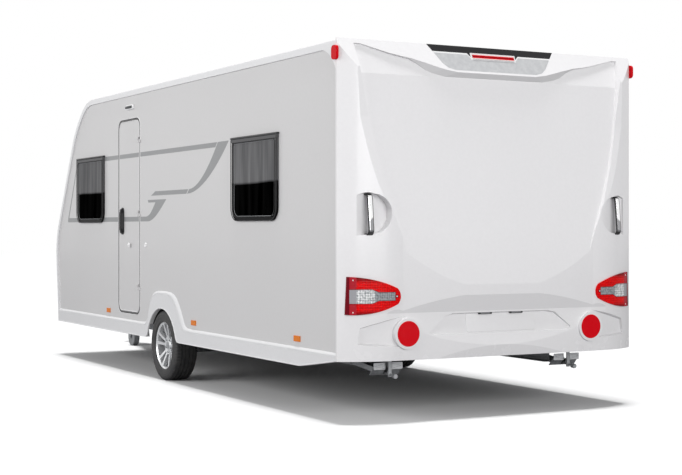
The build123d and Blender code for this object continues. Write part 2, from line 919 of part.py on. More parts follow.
with BuildPart() as gas_locker_lid:
    with BuildSketch(foot_plane):
        with Locations((0, lid_centre)):
            RectangleRounded(lid_width, lid_height, door_corner)
    extrude(amount=-skin)
    for y in (-lid_hinge_y, lid_hinge_y):
        with BuildSketch(foot_plane):
            with Locations((y, lid_top - 15)):
                Rectangle(lid_knuckle, 40)
        extrude(amount=8)
        with BuildSketch(lid_hinge_plane(y - lid_knuckle / 2)):
            Circle(lid_barrel)
        extrude(amount=lid_knuckle)
        with BuildSketch(lid_hinge_plane(y - lid_knuckle / 2 - 1)):
            Circle(pin_radius + 0.4)
        extrude(amount=lid_knuckle + 2, mode=Mode.SUBTRACT)
export(gas_locker_lid, "gas_locker_lid")

# The body's halves of every hinge
with BuildPart() as fixed_hinges:
    for z in hinge_heights:
        leaf = (hinge_station - 40, hinge_station)
        block(leaf, (half_width, hinge_y - barrel_radius + 2), (z - knuckle, z))
        block((hinge_station - barrel_radius, hinge_station), (half_width, hinge_y), (z - knuckle, z))
        with BuildSketch(Plane.XY.offset(z - knuckle)):
            with Locations((at(hinge_station), hinge_y)):
                Circle(barrel_radius)
        extrude(amount=knuckle)
        with BuildSketch(Plane.XY.offset(z)):
            with Locations((at(hinge_station), hinge_y)):
                Circle(pin_radius)
        extrude(amount=knuckle - 6)
    for z in hatch_hinges:
        block((hatch_hinge_station, hatch_hinge_station + 30), (-half_width - 8, -half_width), (z - 22, z))
        with BuildSketch(Plane.XY.offset(z - 22)):
            with Locations((at(hatch_hinge_station), hatch_hinge_y)):
                Circle(hatch_barrel)
        extrude(amount=22)
        with BuildSketch(Plane.XY.offset(z)):
            with Locations((at(hatch_hinge_station), hatch_hinge_y)):
                Circle(pin_radius)
        extrude(amount=16)
    for y in (-lid_hinge_y, lid_hinge_y):
        for near in (-lid_knuckle - 1, lid_knuckle / 2 + 1):
            with BuildSketch(foot_plane):
                with Locations((y + near + lid_knuckle / 4, lid_top + door_gap + 18)):
                    Rectangle(lid_knuckle / 2, 36)
            extrude(amount=8)
            with BuildSketch(lid_hinge_plane(y + near)):
                Circle(lid_barrel)
            extrude(amount=lid_knuckle / 2)
        with BuildSketch(lid_hinge_plane(y - lid_knuckle / 2 - 10)):
            Circle(pin_radius)
        extrude(amount=lid_knuckle + 20)
export(fixed_hinges, "fixed_hinges")

# Gas locker behind the lid and the compartment behind the hatch
bulkhead_station = floor_front - 410
bulkhead = 15.0
shelf_z = floor_top + 499
compartment = 8.0
compartment_depth = 420.0
compartment_margin = 30.0
with BuildPart() as inner_lockers:
    block((bulkhead_station - bulkhead, bulkhead_station), (-inner_half, inner_half), (floor_top, shelf_z))
    shelf = (bulkhead_station - bulkhead, floor_front + 25)
    block(shelf, (-inner_half, inner_half), (shelf_z, shelf_z + bulkhead))
    reach = hatch_width / 2 + compartment_margin
    box_x = (hatch_station - reach, hatch_station + reach)
    box_z = (floor_top, hatch_z + hatch_height / 2 + compartment_margin)
    block(box_x, (-inner_half, -inner_half + compartment_depth), box_z)
    block(
        (box_x[0] + compartment, box_x[1] - compartment),
        (-inner_half - 1, -inner_half + compartment_depth - compartment),
        (box_z[0] + compartment, box_z[1] - compartment),
        mode=Mode.SUBTRACT,
    )
export(inner_lockers, "inner_lockers")

bottle_station = bulkhead_station + 220
bottle_y = 190.0
bottle_radius = 128.0
bottle_body = 330.0
bottle_neck = 22.0
bottle_height = 455.0
with BuildPart() as gas_bottles:
    for y in (-bottle_y, bottle_y):
        foot = (at(bottle_station), y, floor_top)
        with BuildSketch(Plane(origin=foot, x_dir=(1, 0, 0), z_dir=(0, -1, 0))):
            with BuildLine():
                shoulder = (bottle_radius, bottle_body)
                throat = (bottle_neck + 18, bottle_height - 40)
                Polyline((0, 0), (bottle_radius - 20, 0), (bottle_radius, 30), shoulder)
                ThreePointArc(shoulder, (bottle_radius - 28, bottle_height - 63), throat)
                Polyline(
                    throat,
                    (bottle_neck, bottle_height - 35),
                    (bottle_neck, bottle_height),
                    (0, bottle_height),
                    (0, 0),
                )
            make_face()
        revolve(axis=Axis(foot, (0, 0, 1)))
export(gas_bottles, "gas_bottles")

# Furniture that shows through the door and the windows
seat_depth_y = 620.0
seat_top = 900.0
seat_front = bulkhead_station - bulkhead
units = [
    # stations, y, top
    ((axle_station - 446, axle_station + 1134), (-inner_half, -inner_half + 560), 1410),
    ((seat_front - 925, seat_front), (-inner_half, -inner_half + seat_depth_y), seat_top),
    ((seat_front - 925, seat_front), (inner_half - seat_depth_y, inner_half), seat_top),
]
board = 18.0
with BuildPart() as furniture:
    for stations, y, top in units:
        block(stations, y, (floor_top, top))
        low = (stations[0] + board, stations[1] - board)
        block(low, (y[0] + board, y[1] - board), (floor_top + board, top - board), mode=Mode.SUBTRACT)
    with BuildSketch(side_plane(-well_inner_y + board)):
        with Locations((at(axle_station), arch_z)):
            Circle(arch_radius + well_thickness + board)
    extrude(amount=inner_half - well_inner_y + board)
    under = (axle_station - 2 * arch_radius, axle_station + 2 * arch_radius)
    block(under, (-inner_half, -well_inner_y + 2 * board), (-arch_radius, floor_top), mode=Mode.SUBTRACT)
    with BuildSketch(side_plane(-well_inner_y)):
        with Locations((at(axle_station), arch_z)):
            Circle(arch_radius + well_thickness)
    extrude(amount=inner_half - well_inner_y, mode=Mode.SUBTRACT)
export(furniture, "furniture")

cushion = 130.0
cushion_edge = 30.0
with BuildPart() as seat_cushions:
    for side in (1, -1):
        near = inner_half - seat_depth_y
        block(
            (seat_front - 915, seat_front - 10),
            (side * near, side * (inner_half - 4)),
            (seat_top, seat_top + cushion),
        )
    fillet(seat_cushions.edges().filter_by(Axis.X), radius=cushion_edge)
export(seat_cushions, "seat_cushions")

curtain_width = 140.0
curtain_depth = 28.0
with BuildPart() as curtains:
    for _, side, station, width, height in side_windows:
        for end in (-1, 1):
            middle = station + end * (width / 2 - curtain_width / 2 + 10)
            y = side * (inner_half - curtain_depth / 2 - touch)
            block(
                (middle - curtain_width / 2, middle + curtain_width / 2),
                (y - curtain_depth / 2, y + curtain_depth / 2),
                (window_z - height / 2 - 10, window_z + height / 2 + 30),
            )
export(curtains, "curtains")

# Lamps on the sides and the roof edge
with BuildPart() as awning_lamp:
    lamp_z = door_top + 128
    block((door_station - 124, door_station + 146), (half_width, half_width + 30), (lamp_z - 30, lamp_z + 30))
    fillet(awning_lamp.edges().filter_by(Axis.Y), radius=24)
    outer_rim = awning_lamp.faces().sort_by(Axis.Y)[-1].edges()
    chamfer(outer_rim, length=10)
export(awning_lamp, "awning_lamp")

with BuildPart() as marker_lamps:
    for side in (1, -1):
        y = (side * outer_half, side * (outer_half + 20))
        block((-45, 25), y, (roof_top - 135, roof_top - 40))
    fillet(marker_lamps.edges().filter_by(Axis.Y), radius=26)
export(marker_lamps, "marker_lamps")

with BuildPart() as side_reflectors:
    for side in (1, -1):
        for station in (582, 2455, 4530):
            reflector_heights = (floor_bottom + 49, floor_bottom + 89)
            y = (side * half_width, side * (half_width + 8))
            block((station - 47, station + 47), y, reflector_heights)
export(side_reflectors, "side_reflectors")

# Grab handles at the four corners: bowed bars over the rear recesses and brackets on the front panel
bar_width = 28.0
bar_ends = (grip_z - grip_height / 2 + 24, grip_z + grip_height / 2 - 24)
bar_bow = -148.0
with BuildPart() as grab_handles:
    for side in (1, -1):
        with BuildSketch(side_plane(side * grip_y + bar_width / 2)):
            with BuildLine():
                ThreePointArc(
                    (at(grip_floor), bar_ends[0]),
                    (at(bar_bow), grip_z),
                    (at(grip_floor), bar_ends[1]),
                )
                Line((at(grip_floor), bar_ends[1]), (at(grip_floor), bar_ends[1] - 24))
                ThreePointArc(
                    (at(grip_floor), bar_ends[1] - 24),
                    (at(bar_bow + 15), grip_z),
                    (at(grip_floor), bar_ends[0] + 24),
                )
                Line((at(grip_floor), bar_ends[0] + 24), (at(grip_floor), bar_ends[0]))
            make_face()
        extrude(amount=bar_width)
    front_bar = (360.0, 260.0, 24.0, 50.0)
    for side in (1, -1):
        middle, height, width, reach = front_bar
        y = side * (half_width - 165)
        for s in (middle - height / 2 + 20, middle + height / 2 - 20):
            with BuildSketch(foot_plane):
                with Locations((y, s)):
                    Rectangle(width, width)
            extrude(amount=reach - 4)
        with BuildSketch(foot_plane.offset(reach - 14)):
            with Locations((y, middle)):
                Rectangle(width, height)
        extrude(amount=14)
export(grab_handles, "grab_handles")

# Chassis: two side members, cross members and the drawbar arms
rail_y = 700.0
rail_width = 45.0
rail_height = 150.0
rail_ends = (240.0, 4950.0)
metal = 4.0
with BuildPart() as chassis_rails:
    for side in (1, -1):
        y = (side * (rail_y - rail_width), side * rail_y)
        block(rail_ends, y, (floor_bottom - rail_height, floor_bottom))
        block(
            (rail_ends[0] - 1, rail_ends[1] + 1),
            (side * (rail_y - rail_width - 1), side * (rail_y - metal)),
            (floor_bottom - rail_height + metal, floor_bottom - metal),
            mode=Mode.SUBTRACT,
        )
export(chassis_rails, "chassis_rails")

cross_half = rail_y - rail_width
cross_height = 90.0
cross_width = 40.0
with BuildPart() as cross_members:
    for station in (rail_ends[0] + 160, axle_station - 1066, rail_ends[1] - 650):
        low = floor_bottom - cross_height
        block((station, station + cross_width), (-cross_half, cross_half), (low, floor_bottom))
        block(
            (station + metal, station + cross_width + 1),
            (-cross_half - 1, cross_half + 1),
            (low + metal, floor_bottom - metal),
            mode=Mode.SUBTRACT,
        )
export(cross_members, "cross_members")

arm_rear = (rail_ends[1] - 450, cross_half)
arm_front = (ball_station - 320, 78.0)


def arm_face(station):
    """How far out the drawbar arm's outer face stands at a station."""
    slope = (arm_rear[1] - arm_front[1]) / (arm_front[0] - arm_rear[0])
    return arm_rear[1] - slope * (station - arm_rear[0])


with BuildPart() as drawbar_arms:
    for side in (1, -1):
        with BuildSketch(Plane.XY.offset(arm_top - arm_height)):
            with BuildLine():
                Polyline(
                    (at(arm_rear[0]), side * arm_rear[1]),
                    (at(arm_front[0]), side * arm_front[1]),
                    (at(arm_front[0]), side * (arm_front[1] - arm_width)),
                    (at(arm_rear[0]), side * (arm_rear[1] - arm_width)),
                    close=True,
                )
            make_face()
        extrude(amount=arm_height)
        with BuildSketch(Plane.XY.offset(arm_top - arm_height + 5)):
            with BuildLine():
                Polyline(
                    (at(arm_rear[0] - 1), side * (arm_rear[1] - 5)),
                    (at(arm_front[0] + 1), side * (arm_front[1] - 5)),
                    (at(arm_front[0] + 1), side * (arm_front[1] - arm_width - 5)),
                    (at(arm_rear[0] - 1), side * (arm_rear[1] - arm_width - 5)),
                    close=True,
                )
            make_face()
        extrude(amount=arm_height - 10, mode=Mode.SUBTRACT)
export(drawbar_arms, "drawbar_arms")

# Axle: a tube under the side members with trailing arms and back plates
drum_radius = 115.0
axle_tube_station = axle_station + 170
axle_z = floor_bottom - rail_height - 50
plate_y = wheel_y - 127.5
back_plate = 8.0
stub_radius = 22.0
stub_end = wheel_y - 47.5
with BuildPart() as axle:
    with BuildSketch(side_plane(plate_y - 35)):
        with Locations((at(axle_tube_station), axle_z)):
            RegularPolygon(57, 6)
    extrude(amount=2 * (plate_y - 35))
    for side in (1, -1):
        block(
            (axle_tube_station - 60, axle_tube_station + 60),
            (side * (rail_y - rail_width), side * rail_y),
            (axle_z + 40, floor_bottom - rail_height),
        )
    for side in (1, -1):
        with BuildSketch(side_plane(plate_y if side > 0 else 35 - plate_y)):
            with Locations((at(axle_tube_station), axle_z)):
                Circle(55)
            with Locations((at(axle_station), tyre_radius)):
                Circle(45)
            make_hull()
        extrude(amount=35)
        with BuildSketch(side_plane(plate_y + back_plate if side > 0 else -plate_y)):
            with Locations((at(axle_station), tyre_radius)):
                Circle(drum_radius + 3)
        extrude(amount=back_plate)
        with BuildSketch(side_plane(stub_end if side > 0 else -plate_y - back_plate)):
            with Locations((at(axle_station), tyre_radius)):
                Circle(stub_radius)
        extrude(amount=stub_end - plate_y - back_plate)
export(axle, "axle")

# Wheels with five paired spokes
bead_radius = rim_radius - 8
cap_radius = 34.0
hub_radius = 76.0
spoke_count = 5
spoke = [
    # from the axle, beside the pair's middle
    (hub_radius - 30, 2),
    (hub_radius - 30, 22),
    (bead_radius - 4, 62),
    (bead_radius - 4, 34),
]
for side, word in ((1, "left"), (-1, "right")):
    hub = Plane(origin=(at(axle_station), side * wheel_y, tyre_radius), x_dir=(1, 0, 0), z_dir=(0, 0, 1))
    spin = Axis((at(axle_station), side * wheel_y, tyre_radius), (0, 1, 0))
    half = tyre_width / 2
    with BuildPart() as tyre:
        with BuildSketch(hub):
            with BuildLine():
                heel = (bead_radius, half - 18)
                bead = (bead_radius + 16, half - 4)
                bulge = (rim_radius + 45, half)
                wall_top = (tyre_radius - 12, half - 10)
                shoulder = (tyre_radius - 3, half - 15)
                crown = (tyre_radius, half - 24)
                outer = [bead, bulge, wall_top, shoulder, crown]
                inner = [(radius, -y) for radius, y in reversed(outer)]
                Polyline(inner[-1], (bead_radius, 18 - half), heel, bead)
                ThreePointArc(*outer[:3])
                ThreePointArc(*outer[2:])
                Line(crown, inner[0])
                ThreePointArc(*inner[:3])
                ThreePointArc(*inner[2:])
            make_face()
        revolve(axis=spin)
    export(tyre, f"tyre_{word}")

    with BuildPart() as dish:
        with BuildSketch(hub):
            with BuildLine():
                Polyline(
                    (0, side * (half - 34)),
                    (cap_radius, side * (half - 34)),
                    (cap_radius + 18, side * (half - 42)),
                    (bead_radius - 8, side * (half - 10)),
                    (bead_radius - 8, side * (half - 42)),
                    (cap_radius + 30, side * (half - 72)),
                    (0, side * (half - 72)),
                    close=True,
                )
            make_face()
        revolve(axis=spin)

    with BuildPart() as rim:
        with BuildSketch(side_plane(side * (wheel_y + half - 50) + 60)):
            with Locations((at(axle_station), tyre_radius)):
                Circle(hub_radius)
                with PolarLocations(0, spoke_count, start_angle=90):
                    for lean in (1, -1):
                        Polygon(*[(x, lean * y) for x, y in spoke], align=None)
        extrude(amount=120)
        add(dish.part, mode=Mode.INTERSECT)
        with BuildSketch(hub):
            with BuildLine():
                Polyline(
                    (bead_radius, side * (half - 18)),
                    (bead_radius, side * (half - 13)),
                    (bead_radius + 6, side * (half - 7)),
                    (bead_radius - 2, side * (half - 4)),
                    (bead_radius - 14, side * (half - 14)),
                    (bead_radius - 14, side * (12 - half)),
                    (bead_radius, side * (12 - half)),
                    close=True,
                )
            make_face()
        revolve(axis=spin)
    export(rim, f"rim_{word}")

    with BuildPart() as drum:
        with BuildSketch(hub):
            with BuildLine():
                Polyline(
                    (stub_radius + touch, side * -110),
                    (drum_radius, side * -110),
                    (drum_radius, side * -50),
                    (70, side * -40),
                    (70, side * (half - 72)),
                    (stub_radius + touch, side * (half - 72)),
                    close=True,
                )
            make_face()
        revolve(axis=spin)
    export(drum, f"brake_drum_{word}")

# Drawbar cover
with BuildPart() as drawbar_cover:
    with BuildSketch(Plane.XY.offset(arm_top)):
        with BuildLine():
            Polyline(
                (at(6095), -284),
                (at(6900), -97),
                (at(6900), 97),
                (at(6095), 284),
                close=True,
            )
        make_face()
    extrude(amount=30, taper=10)
export(drawbar_cover, "drawbar_cover")

# Overrun device and coupling head
with BuildPart() as overrun_housing:
    block((6905, 7060), (-78, 78), (arm_top, arm_top + 8))
    block((6905, 6980), (-23, 23), (arm_top - 60, arm_top))
    with BuildSketch(cross_plane(6905)):
        with Locations((0, arm_top + 40)):
            Circle(36)
    extrude(amount=170)
export(overrun_housing, "overrun_housing")

with BuildPart() as coupling_head:
    with BuildSketch(cross_plane(7075)):
        with Locations((0, arm_top + 40)):
            Circle(28)
    extrude(amount=150)
    with BuildSketch(Plane.XY.offset(arm_top - 25)):
        with Locations((at(7300), 0)):
            Circle(70)
        with Locations((at(7225), 0)):
            Rectangle(60, 60)
        make_hull()
    extrude(amount=90)
    with BuildSketch(Plane.XY.offset(arm_top - 25)):
        with Locations((at(7300), 0)):
            Circle(25.5)
    extrude(amount=55, mode=Mode.SUBTRACT)
    block((7180, 7330), (-18, 18), (arm_top + 65, arm_top + 85))
    block((7120, 7180), (-18, 18), (arm_top + 78, arm_top + 100))
export(coupling_head, "coupling_head")

with BuildPart() as handbrake_lever:
    block((6935, 6965), (40, 52), (arm_top + 8, arm_top + 120))
    block((6700, 6965), (40, 52), (arm_top + 100, arm_top + 120))
export(handbrake_lever, "handbrake_lever")

# Jockey wheel: clamp and outer tube, sliding shaft, swivelling fork and wheel
jockey_x = at(jockey_station)
tube_outer = 24.0
tube_inner = 22.0
shaft_radius = 21.5
tube_bottom = 370.0
tube_top = 720.0
crown_top = 232.0
with BuildPart() as jockey_tube:
    with BuildSketch(Plane.XY.offset(tube_bottom)):
        with Locations((jockey_x, jockey_y)):
            Circle(tube_outer)
    extrude(amount=tube_top - tube_bottom)
    with BuildSketch(Plane.XY.offset(tube_bottom - 1)):
        with Locations((jockey_x, jockey_y)):
            Circle(tube_inner)
    extrude(amount=tube_top - tube_bottom - 20, mode=Mode.SUBTRACT)
    block((jockey_station - 5, jockey_station + 5), (jockey_y - 5, jockey_y + 5), (tube_top, tube_top + 40))
    crank = (jockey_station - 5, jockey_station + 130)
    block(crank, (jockey_y - 5, jockey_y + 5), (tube_top + 30, tube_top + 40))
    with BuildSketch(Plane.XY.offset(arm_top - 70)):
        with BuildLine():
            Polyline(
                (at(jockey_station - 30), arm_face(jockey_station - 30)),
                (at(jockey_station + 30), arm_face(jockey_station + 30)),
                (at(jockey_station + 30), jockey_y + 34),
                (at(jockey_station - 30), jockey_y + 34),
                close=True,
            )
        make_face()
        with Locations((jockey_x, jockey_y)):
            Circle(tube_inner, mode=Mode.SUBTRACT)
    extrude(amount=50)
export(jockey_tube, "jockey_tube")

with BuildPart() as jockey_shaft:
    with BuildSketch(Plane.XY.offset(crown_top + 0.3)):
        with Locations((jockey_x, jockey_y)):
            Circle(shaft_radius)
    extrude(amount=300)
export(jockey_shaft, "jockey_shaft")

with BuildPart() as jockey_fork:
    crown = (jockey_station - jockey_trail - 20, jockey_station + 30)
    block(crown, (jockey_y - 46, jockey_y + 46), (crown_top - 8, crown_top))
    for side in (1, -1):
        inner = jockey_y + side * 40
        outer = jockey_y + side * 46
        with BuildSketch(side_plane(max(inner, outer))):
            with BuildLine():
                Polyline(
                    (at(jockey_station - jockey_trail - 20), crown_top),
                    (at(jockey_station + 30), crown_top),
                    (at(jockey_station - jockey_trail + 18), jockey_radius - 18),
                    (at(jockey_station - jockey_trail - 18), jockey_radius - 18),
                    close=True,
                )
            make_face()
        extrude(amount=6)
    with BuildSketch(side_plane(jockey_y + 50)):
        with Locations((at(jockey_station - jockey_trail), jockey_radius)):
            Circle(8)
    extrude(amount=100)
export(jockey_fork, "jockey_fork")

with BuildPart() as jockey_wheel:
    with BuildSketch(side_plane(jockey_y + 30)):
        with Locations((at(jockey_station - jockey_trail), jockey_radius)):
            Circle(jockey_radius)
            Circle(8.3, mode=Mode.SUBTRACT)
    extrude(amount=60)
export(jockey_wheel, "jockey_wheel")

# Corner steadies
leg_length = 436.0
leg_half = 30.0
bracket_half = 40.0
post_reach = 511.0
spindle_reach = 560.0


def steady_axes(station, side, way):
    """The plane of a steady's own length and height, its first axis along the spindle."""
    along = (way * cos(radians(steady_pitch)), 0, -sin(radians(steady_pitch)))
    return Plane(origin=(at(station), side * steady_y, steady_hinge_z), x_dir=along, z_dir=(0, -way, 0))


# Fixed frames of the steadies: top plate, hinge ears with their pin, end post, spindle and its nut
with BuildPart() as steady_frames:
    for name, station, side, way in steadies:
        y = side * steady_y
        middle = steady_axes(station, side, way)
        width = (y - bracket_half, y + bracket_half)
        block((station - way * 30, station + way * (post_reach + 8)), width, (floor_bottom - 5, floor_bottom))
        for ear in (-1, 1):
            thick = (y + ear * (leg_half + 5), y + ear * bracket_half)
            block((station - way * 25, station + way * 25), thick, (steady_hinge_z - 22, floor_bottom))
        with BuildSketch(side_plane(y + bracket_half)):
            with Locations((at(station), steady_hinge_z)):
                Circle(6)
        extrude(amount=2 * bracket_half)
        post = (station + way * (post_reach - 6), station + way * (post_reach + 6))
        block(post, (y - 12, y + 12), (steady_hinge_z - 72, floor_bottom))
        across = Plane(origin=middle.origin, x_dir=(0, 1, 0), z_dir=middle.x_dir)
        with BuildSketch(across):
            Circle(7)
        extrude(amount=spindle_reach)
        with BuildSketch(across.offset(spindle_reach)):
            RegularPolygon(17, 6)
        extrude(amount=36)
export(steady_frames, "steady_frames")

deploy_angle = 46.0
foot_tilt = deploy_angle + steady_pitch
foot_length = 80.0
foot_heel = (leg_length, -15.5)
spindle_slot = 14.0
for name, station, side, way in steadies:
    middle = steady_axes(station, side, way)
    foot_x = foot_heel[0] + foot_length / 2 * cos(radians(foot_tilt))
    foot_z = foot_heel[1] + foot_length / 2 * sin(radians(foot_tilt))
    with BuildPart() as leg:
        with BuildSketch(middle):
            Circle(18)
            with Locations((leg_length / 2, 0)):
                Rectangle(leg_length, 36)
            with BuildLine():
                Polyline((390, 17), (435, -18), (478, 38), (470, 38), close=True)
            make_face()
        extrude(amount=leg_half, both=True)
        with BuildSketch(middle):
            with Locations((leg_length / 2 + 20, 43)):
                Rectangle(leg_length + 200, 114)
            with Locations((0, -16)):
                Rectangle(60, 12)
        extrude(amount=leg_half - 4, both=True, mode=Mode.SUBTRACT)
        with BuildSketch(middle):
            Circle(6.5)
        extrude(amount=leg_half + 1, both=True, mode=Mode.SUBTRACT)
        for near in (12, -leg_half + 2):
            with BuildSketch(middle.offset(near)):
                with Locations((steady_arm, 0)):
                    Circle(6)
            extrude(amount=leg_half - 14)
        with BuildSketch(middle):
            with Locations((foot_x, foot_z)):
                Rectangle(foot_length, 5, rotation=foot_tilt)
        extrude(amount=115, both=True)
        with BuildSketch(middle):
            with Locations((leg_length + 40, 38)):
                Rectangle(100, 100)
        extrude(amount=spindle_slot, both=True, mode=Mode.SUBTRACT)
    export(leg, f"steady_leg_{name}")

    with BuildPart() as brace:
        for near, boss in ((15, 12), (-20, -15)):
            with BuildSketch(middle.offset(near)):
                with Locations((steady_arm, 0), (2 * steady_arm, 0)):
                    Circle(11)
                make_hull()
                with Locations((steady_arm, 0)):
                    Circle(6.4, mode=Mode.SUBTRACT)
            extrude(amount=5)
            with BuildSketch(middle.offset(boss)):
                with Locations((2 * steady_arm, 0)):
                    Circle(8)
            extrude(amount=3)
    export(brace, f"steady_brace_{name}")
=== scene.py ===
# %% [markdown]
# # A touring caravan in a white studio
#
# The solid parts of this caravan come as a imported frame: walls, moulded rear, wheels and chassis, each with
# its real size and place. This notebook gives them the finishes of the real vehicle, adds what is too small
# or too soft for the solids, and sets the camera and the lights.
#
# The frame comes first, because all that follows is placed by its boxes and rides on its bodies.

# %% Load the frame
import math

import bmesh
import bpy
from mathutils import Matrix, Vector
from mathutils.geometry import interpolate_bezier


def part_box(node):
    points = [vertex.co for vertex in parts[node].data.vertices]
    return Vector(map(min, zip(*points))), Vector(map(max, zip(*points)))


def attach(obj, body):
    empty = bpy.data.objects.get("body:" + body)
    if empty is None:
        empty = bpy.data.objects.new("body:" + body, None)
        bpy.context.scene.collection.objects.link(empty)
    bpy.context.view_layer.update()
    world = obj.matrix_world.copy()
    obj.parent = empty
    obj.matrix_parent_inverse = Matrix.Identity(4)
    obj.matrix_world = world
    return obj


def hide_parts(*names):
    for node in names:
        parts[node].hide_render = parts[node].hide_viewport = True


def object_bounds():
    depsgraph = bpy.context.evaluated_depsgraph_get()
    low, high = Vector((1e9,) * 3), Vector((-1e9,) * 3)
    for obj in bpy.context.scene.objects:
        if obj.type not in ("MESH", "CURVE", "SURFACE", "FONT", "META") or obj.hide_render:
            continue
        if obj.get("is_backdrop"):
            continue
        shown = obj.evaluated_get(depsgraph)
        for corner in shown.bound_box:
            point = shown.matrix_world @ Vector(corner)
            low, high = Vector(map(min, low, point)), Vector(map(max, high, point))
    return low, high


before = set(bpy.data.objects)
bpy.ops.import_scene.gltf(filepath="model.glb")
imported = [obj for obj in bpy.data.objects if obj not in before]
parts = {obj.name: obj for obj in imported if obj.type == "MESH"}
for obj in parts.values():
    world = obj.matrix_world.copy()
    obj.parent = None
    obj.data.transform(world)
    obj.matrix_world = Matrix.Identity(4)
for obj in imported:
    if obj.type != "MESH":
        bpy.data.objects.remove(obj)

solid_low, solid_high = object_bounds()
sides = ((1, "left"), (-1, "right"))
print("box of the solids:", [round(v, 3) for v in (*solid_low, *solid_high)])

# %% [markdown]
# ## The camera
#
# A photograph fixes a camera once enough points with known places are found in it. Some forty points on the
# side wall, the rear and the wheel gave a level camera, a little over shoulder height, behind the left rear
# corner. A level camera keeps upright edges parallel, so the framing is done with a small vertical shift.
#
# The Standard view transform shows a colour as it is written, which is what a product picture wants.

# %% Place the camera
photo_width = 682
focal_pixels = 1417.0
horizon_rise = 9.0
view_direction = Vector((0.8784, -0.4779, 0.0))

lens = bpy.data.cameras.new("photo_camera")
lens.sensor_width = 36.0
lens.lens = lens.sensor_width * focal_pixels / photo_width
lens.shift_y = -horizon_rise / photo_width
camera = bpy.data.objects.new("photo_camera", lens)
camera.location = (-11.878, 5.696, 1.305)
camera.rotation_mode = "QUATERNION"
camera.rotation_quaternion = view_direction.to_track_quat("-Z", "Y")
bpy.context.scene.collection.objects.link(camera)
bpy.context.scene.camera = camera
bpy.context.scene.view_settings.view_transform = "Standard"
print("focal length:", round(lens.lens, 1), "mm")

# %% [markdown]
# ## Sums on sockets
#
# A shader is a graph of nodes, and a graph is slow to read. The class below wraps one output socket and
# overloads the arithmetic operators, so a mask is written as an ordinary expression and each sign adds its
# own Math node. Colours and vectors take another road, through Mix and Vector Math, since a Math node
# would keep only their brightness.

# %% A socket that adds and multiplies
def join(tree, source, socket):
    """Feeds a socket from another socket or with a plain value."""
    if isinstance(source, Wire):
        tree.links.new(source.socket, socket)
    else:
        socket.default_value = source


class Wire:
    def __init__(self, tree, socket):
        self.tree = tree
        self.socket = socket

    def sum(self, operation, *terms):
        node = self.tree.nodes.new("ShaderNodeMath")
        node.operation = operation
        for term, socket in zip(terms, node.inputs):
            join(self.tree, term, socket)
        return Wire(self.tree, node.outputs[0])

    def __add__(self, other):
        return self.sum("ADD", self, other)

    def __sub__(self, other):
        return self.sum("SUBTRACT", self, other)

    def __rsub__(self, other):
        return self.sum("SUBTRACT", other, self)

    def __mul__(self, other):
        return self.sum("MULTIPLY", self, other)

    __radd__ = __add__
    __rmul__ = __mul__

    def over(self, limit):
        return self.sum("GREATER_THAN", self, limit)

    def under(self, limit):
        return self.sum("LESS_THAN", self, limit)

    def size(self):
        return self.sum("ABSOLUTE", self)

    def ramp(self, low, high):
        """0 below low, 1 above high and a straight slope between them."""
        node = self.tree.nodes.new("ShaderNodeMapRange")
        join(self.tree, self, node.inputs["Value"])
        node.inputs["From Min"].default_value = low
        node.inputs["From Max"].default_value = high
        return Wire(self.tree, node.outputs["Result"])

# %% [markdown]
# ## A finish
#
# Each finish starts as a Principled shader. What is the same all over goes straight on its sockets, and
# what varies comes as a wire. `add` makes any node from its type, its settings and its inputs, which is all
# that the finishes below need. Places are read from Object coordinates: the solids keep their place in the
# mesh, so these are metres in the vehicle's own frame.

# %% A material under construction
class Finish:
    def __init__(self, name, **constants):
        self.material = bpy.data.materials.new(name)
        self.material.use_nodes = True
        self.tree = self.material.node_tree
        self.shader = self.tree.nodes["Principled BSDF"]
        self.put(**constants)

    def put(self, **values):
        for name, value in values.items():
            join(self.tree, value, self.shader.inputs[name.replace("_", " ")])

    def add(self, kind, settings=None, out=0, **sockets):
        node = self.tree.nodes.new(kind)
        for name, value in (settings or {}).items():
            setattr(node, name, value)
        for name, value in sockets.items():
            join(self.tree, value, node.inputs[name.replace("_", " ")])
        return Wire(self.tree, node.outputs[out])

    def place(self):
        return self.add("ShaderNodeTexCoord", out="Object")

    def axes(self, vector=None):
        """Three wires for the parts of a vector, which is the place unless another is given."""
        parted = self.tree.nodes.new("ShaderNodeSeparateXYZ")
        join(self.tree, vector or self.place(), parted.inputs[0])
        return [Wire(self.tree, socket) for socket in parted.outputs]

    def noise(self, scale, detail=3.0, stretch=(1, 1, 1)):
        where = self.add("ShaderNodeMapping", Vector=self.place(), Scale=stretch)
        return self.add("ShaderNodeTexNoise", Vector=where, Scale=scale, Detail=detail)

    def blend(self, mask, first, second):
        """One colour where the mask is 0 and the other where it is 1."""
        node = self.tree.nodes.new("ShaderNodeMix")
        node.data_type = "RGBA"
        for value, socket in ((mask, node.inputs[0]), (first, node.inputs[6]), (second, node.inputs[7])):
            join(self.tree, value, socket)
        return Wire(self.tree, node.outputs[2])

    def coats(self, colour, *masked):
        """Lays one masked colour after another over the first, as a sign painter does."""
        for mask, upper in masked:
            colour = self.blend(mask, colour, upper)
        return colour

    def waves(self, ways, scale, distortion=0.0, **settings):
        """One Wave texture for each letter in ways, the direction that its bands lie in."""
        kind, where = "ShaderNodeTexWave", self.place()
        for way in ways:
            settings["bands_direction"] = way
            yield self.add(kind, settings, Vector=where, Scale=scale, Distortion=distortion)

    def relief(self, height, depth, strength=1.0):
        """A Bump node on the shader's normal."""
        bump = self.add("ShaderNodeBump", Height=height, Distance=depth, Strength=strength)
        self.put(Normal=bump)


def shade(red, green, blue):
    """A colour as it looks on a screen, 0 to 255, turned into the linear values that a shader takes."""
    linear = [((v / 255 + 0.055) / 1.055) ** 2.4 if v > 10 else v / 255 / 12.92 for v in (red, green, blue)]
    return (*linear, 1.0)


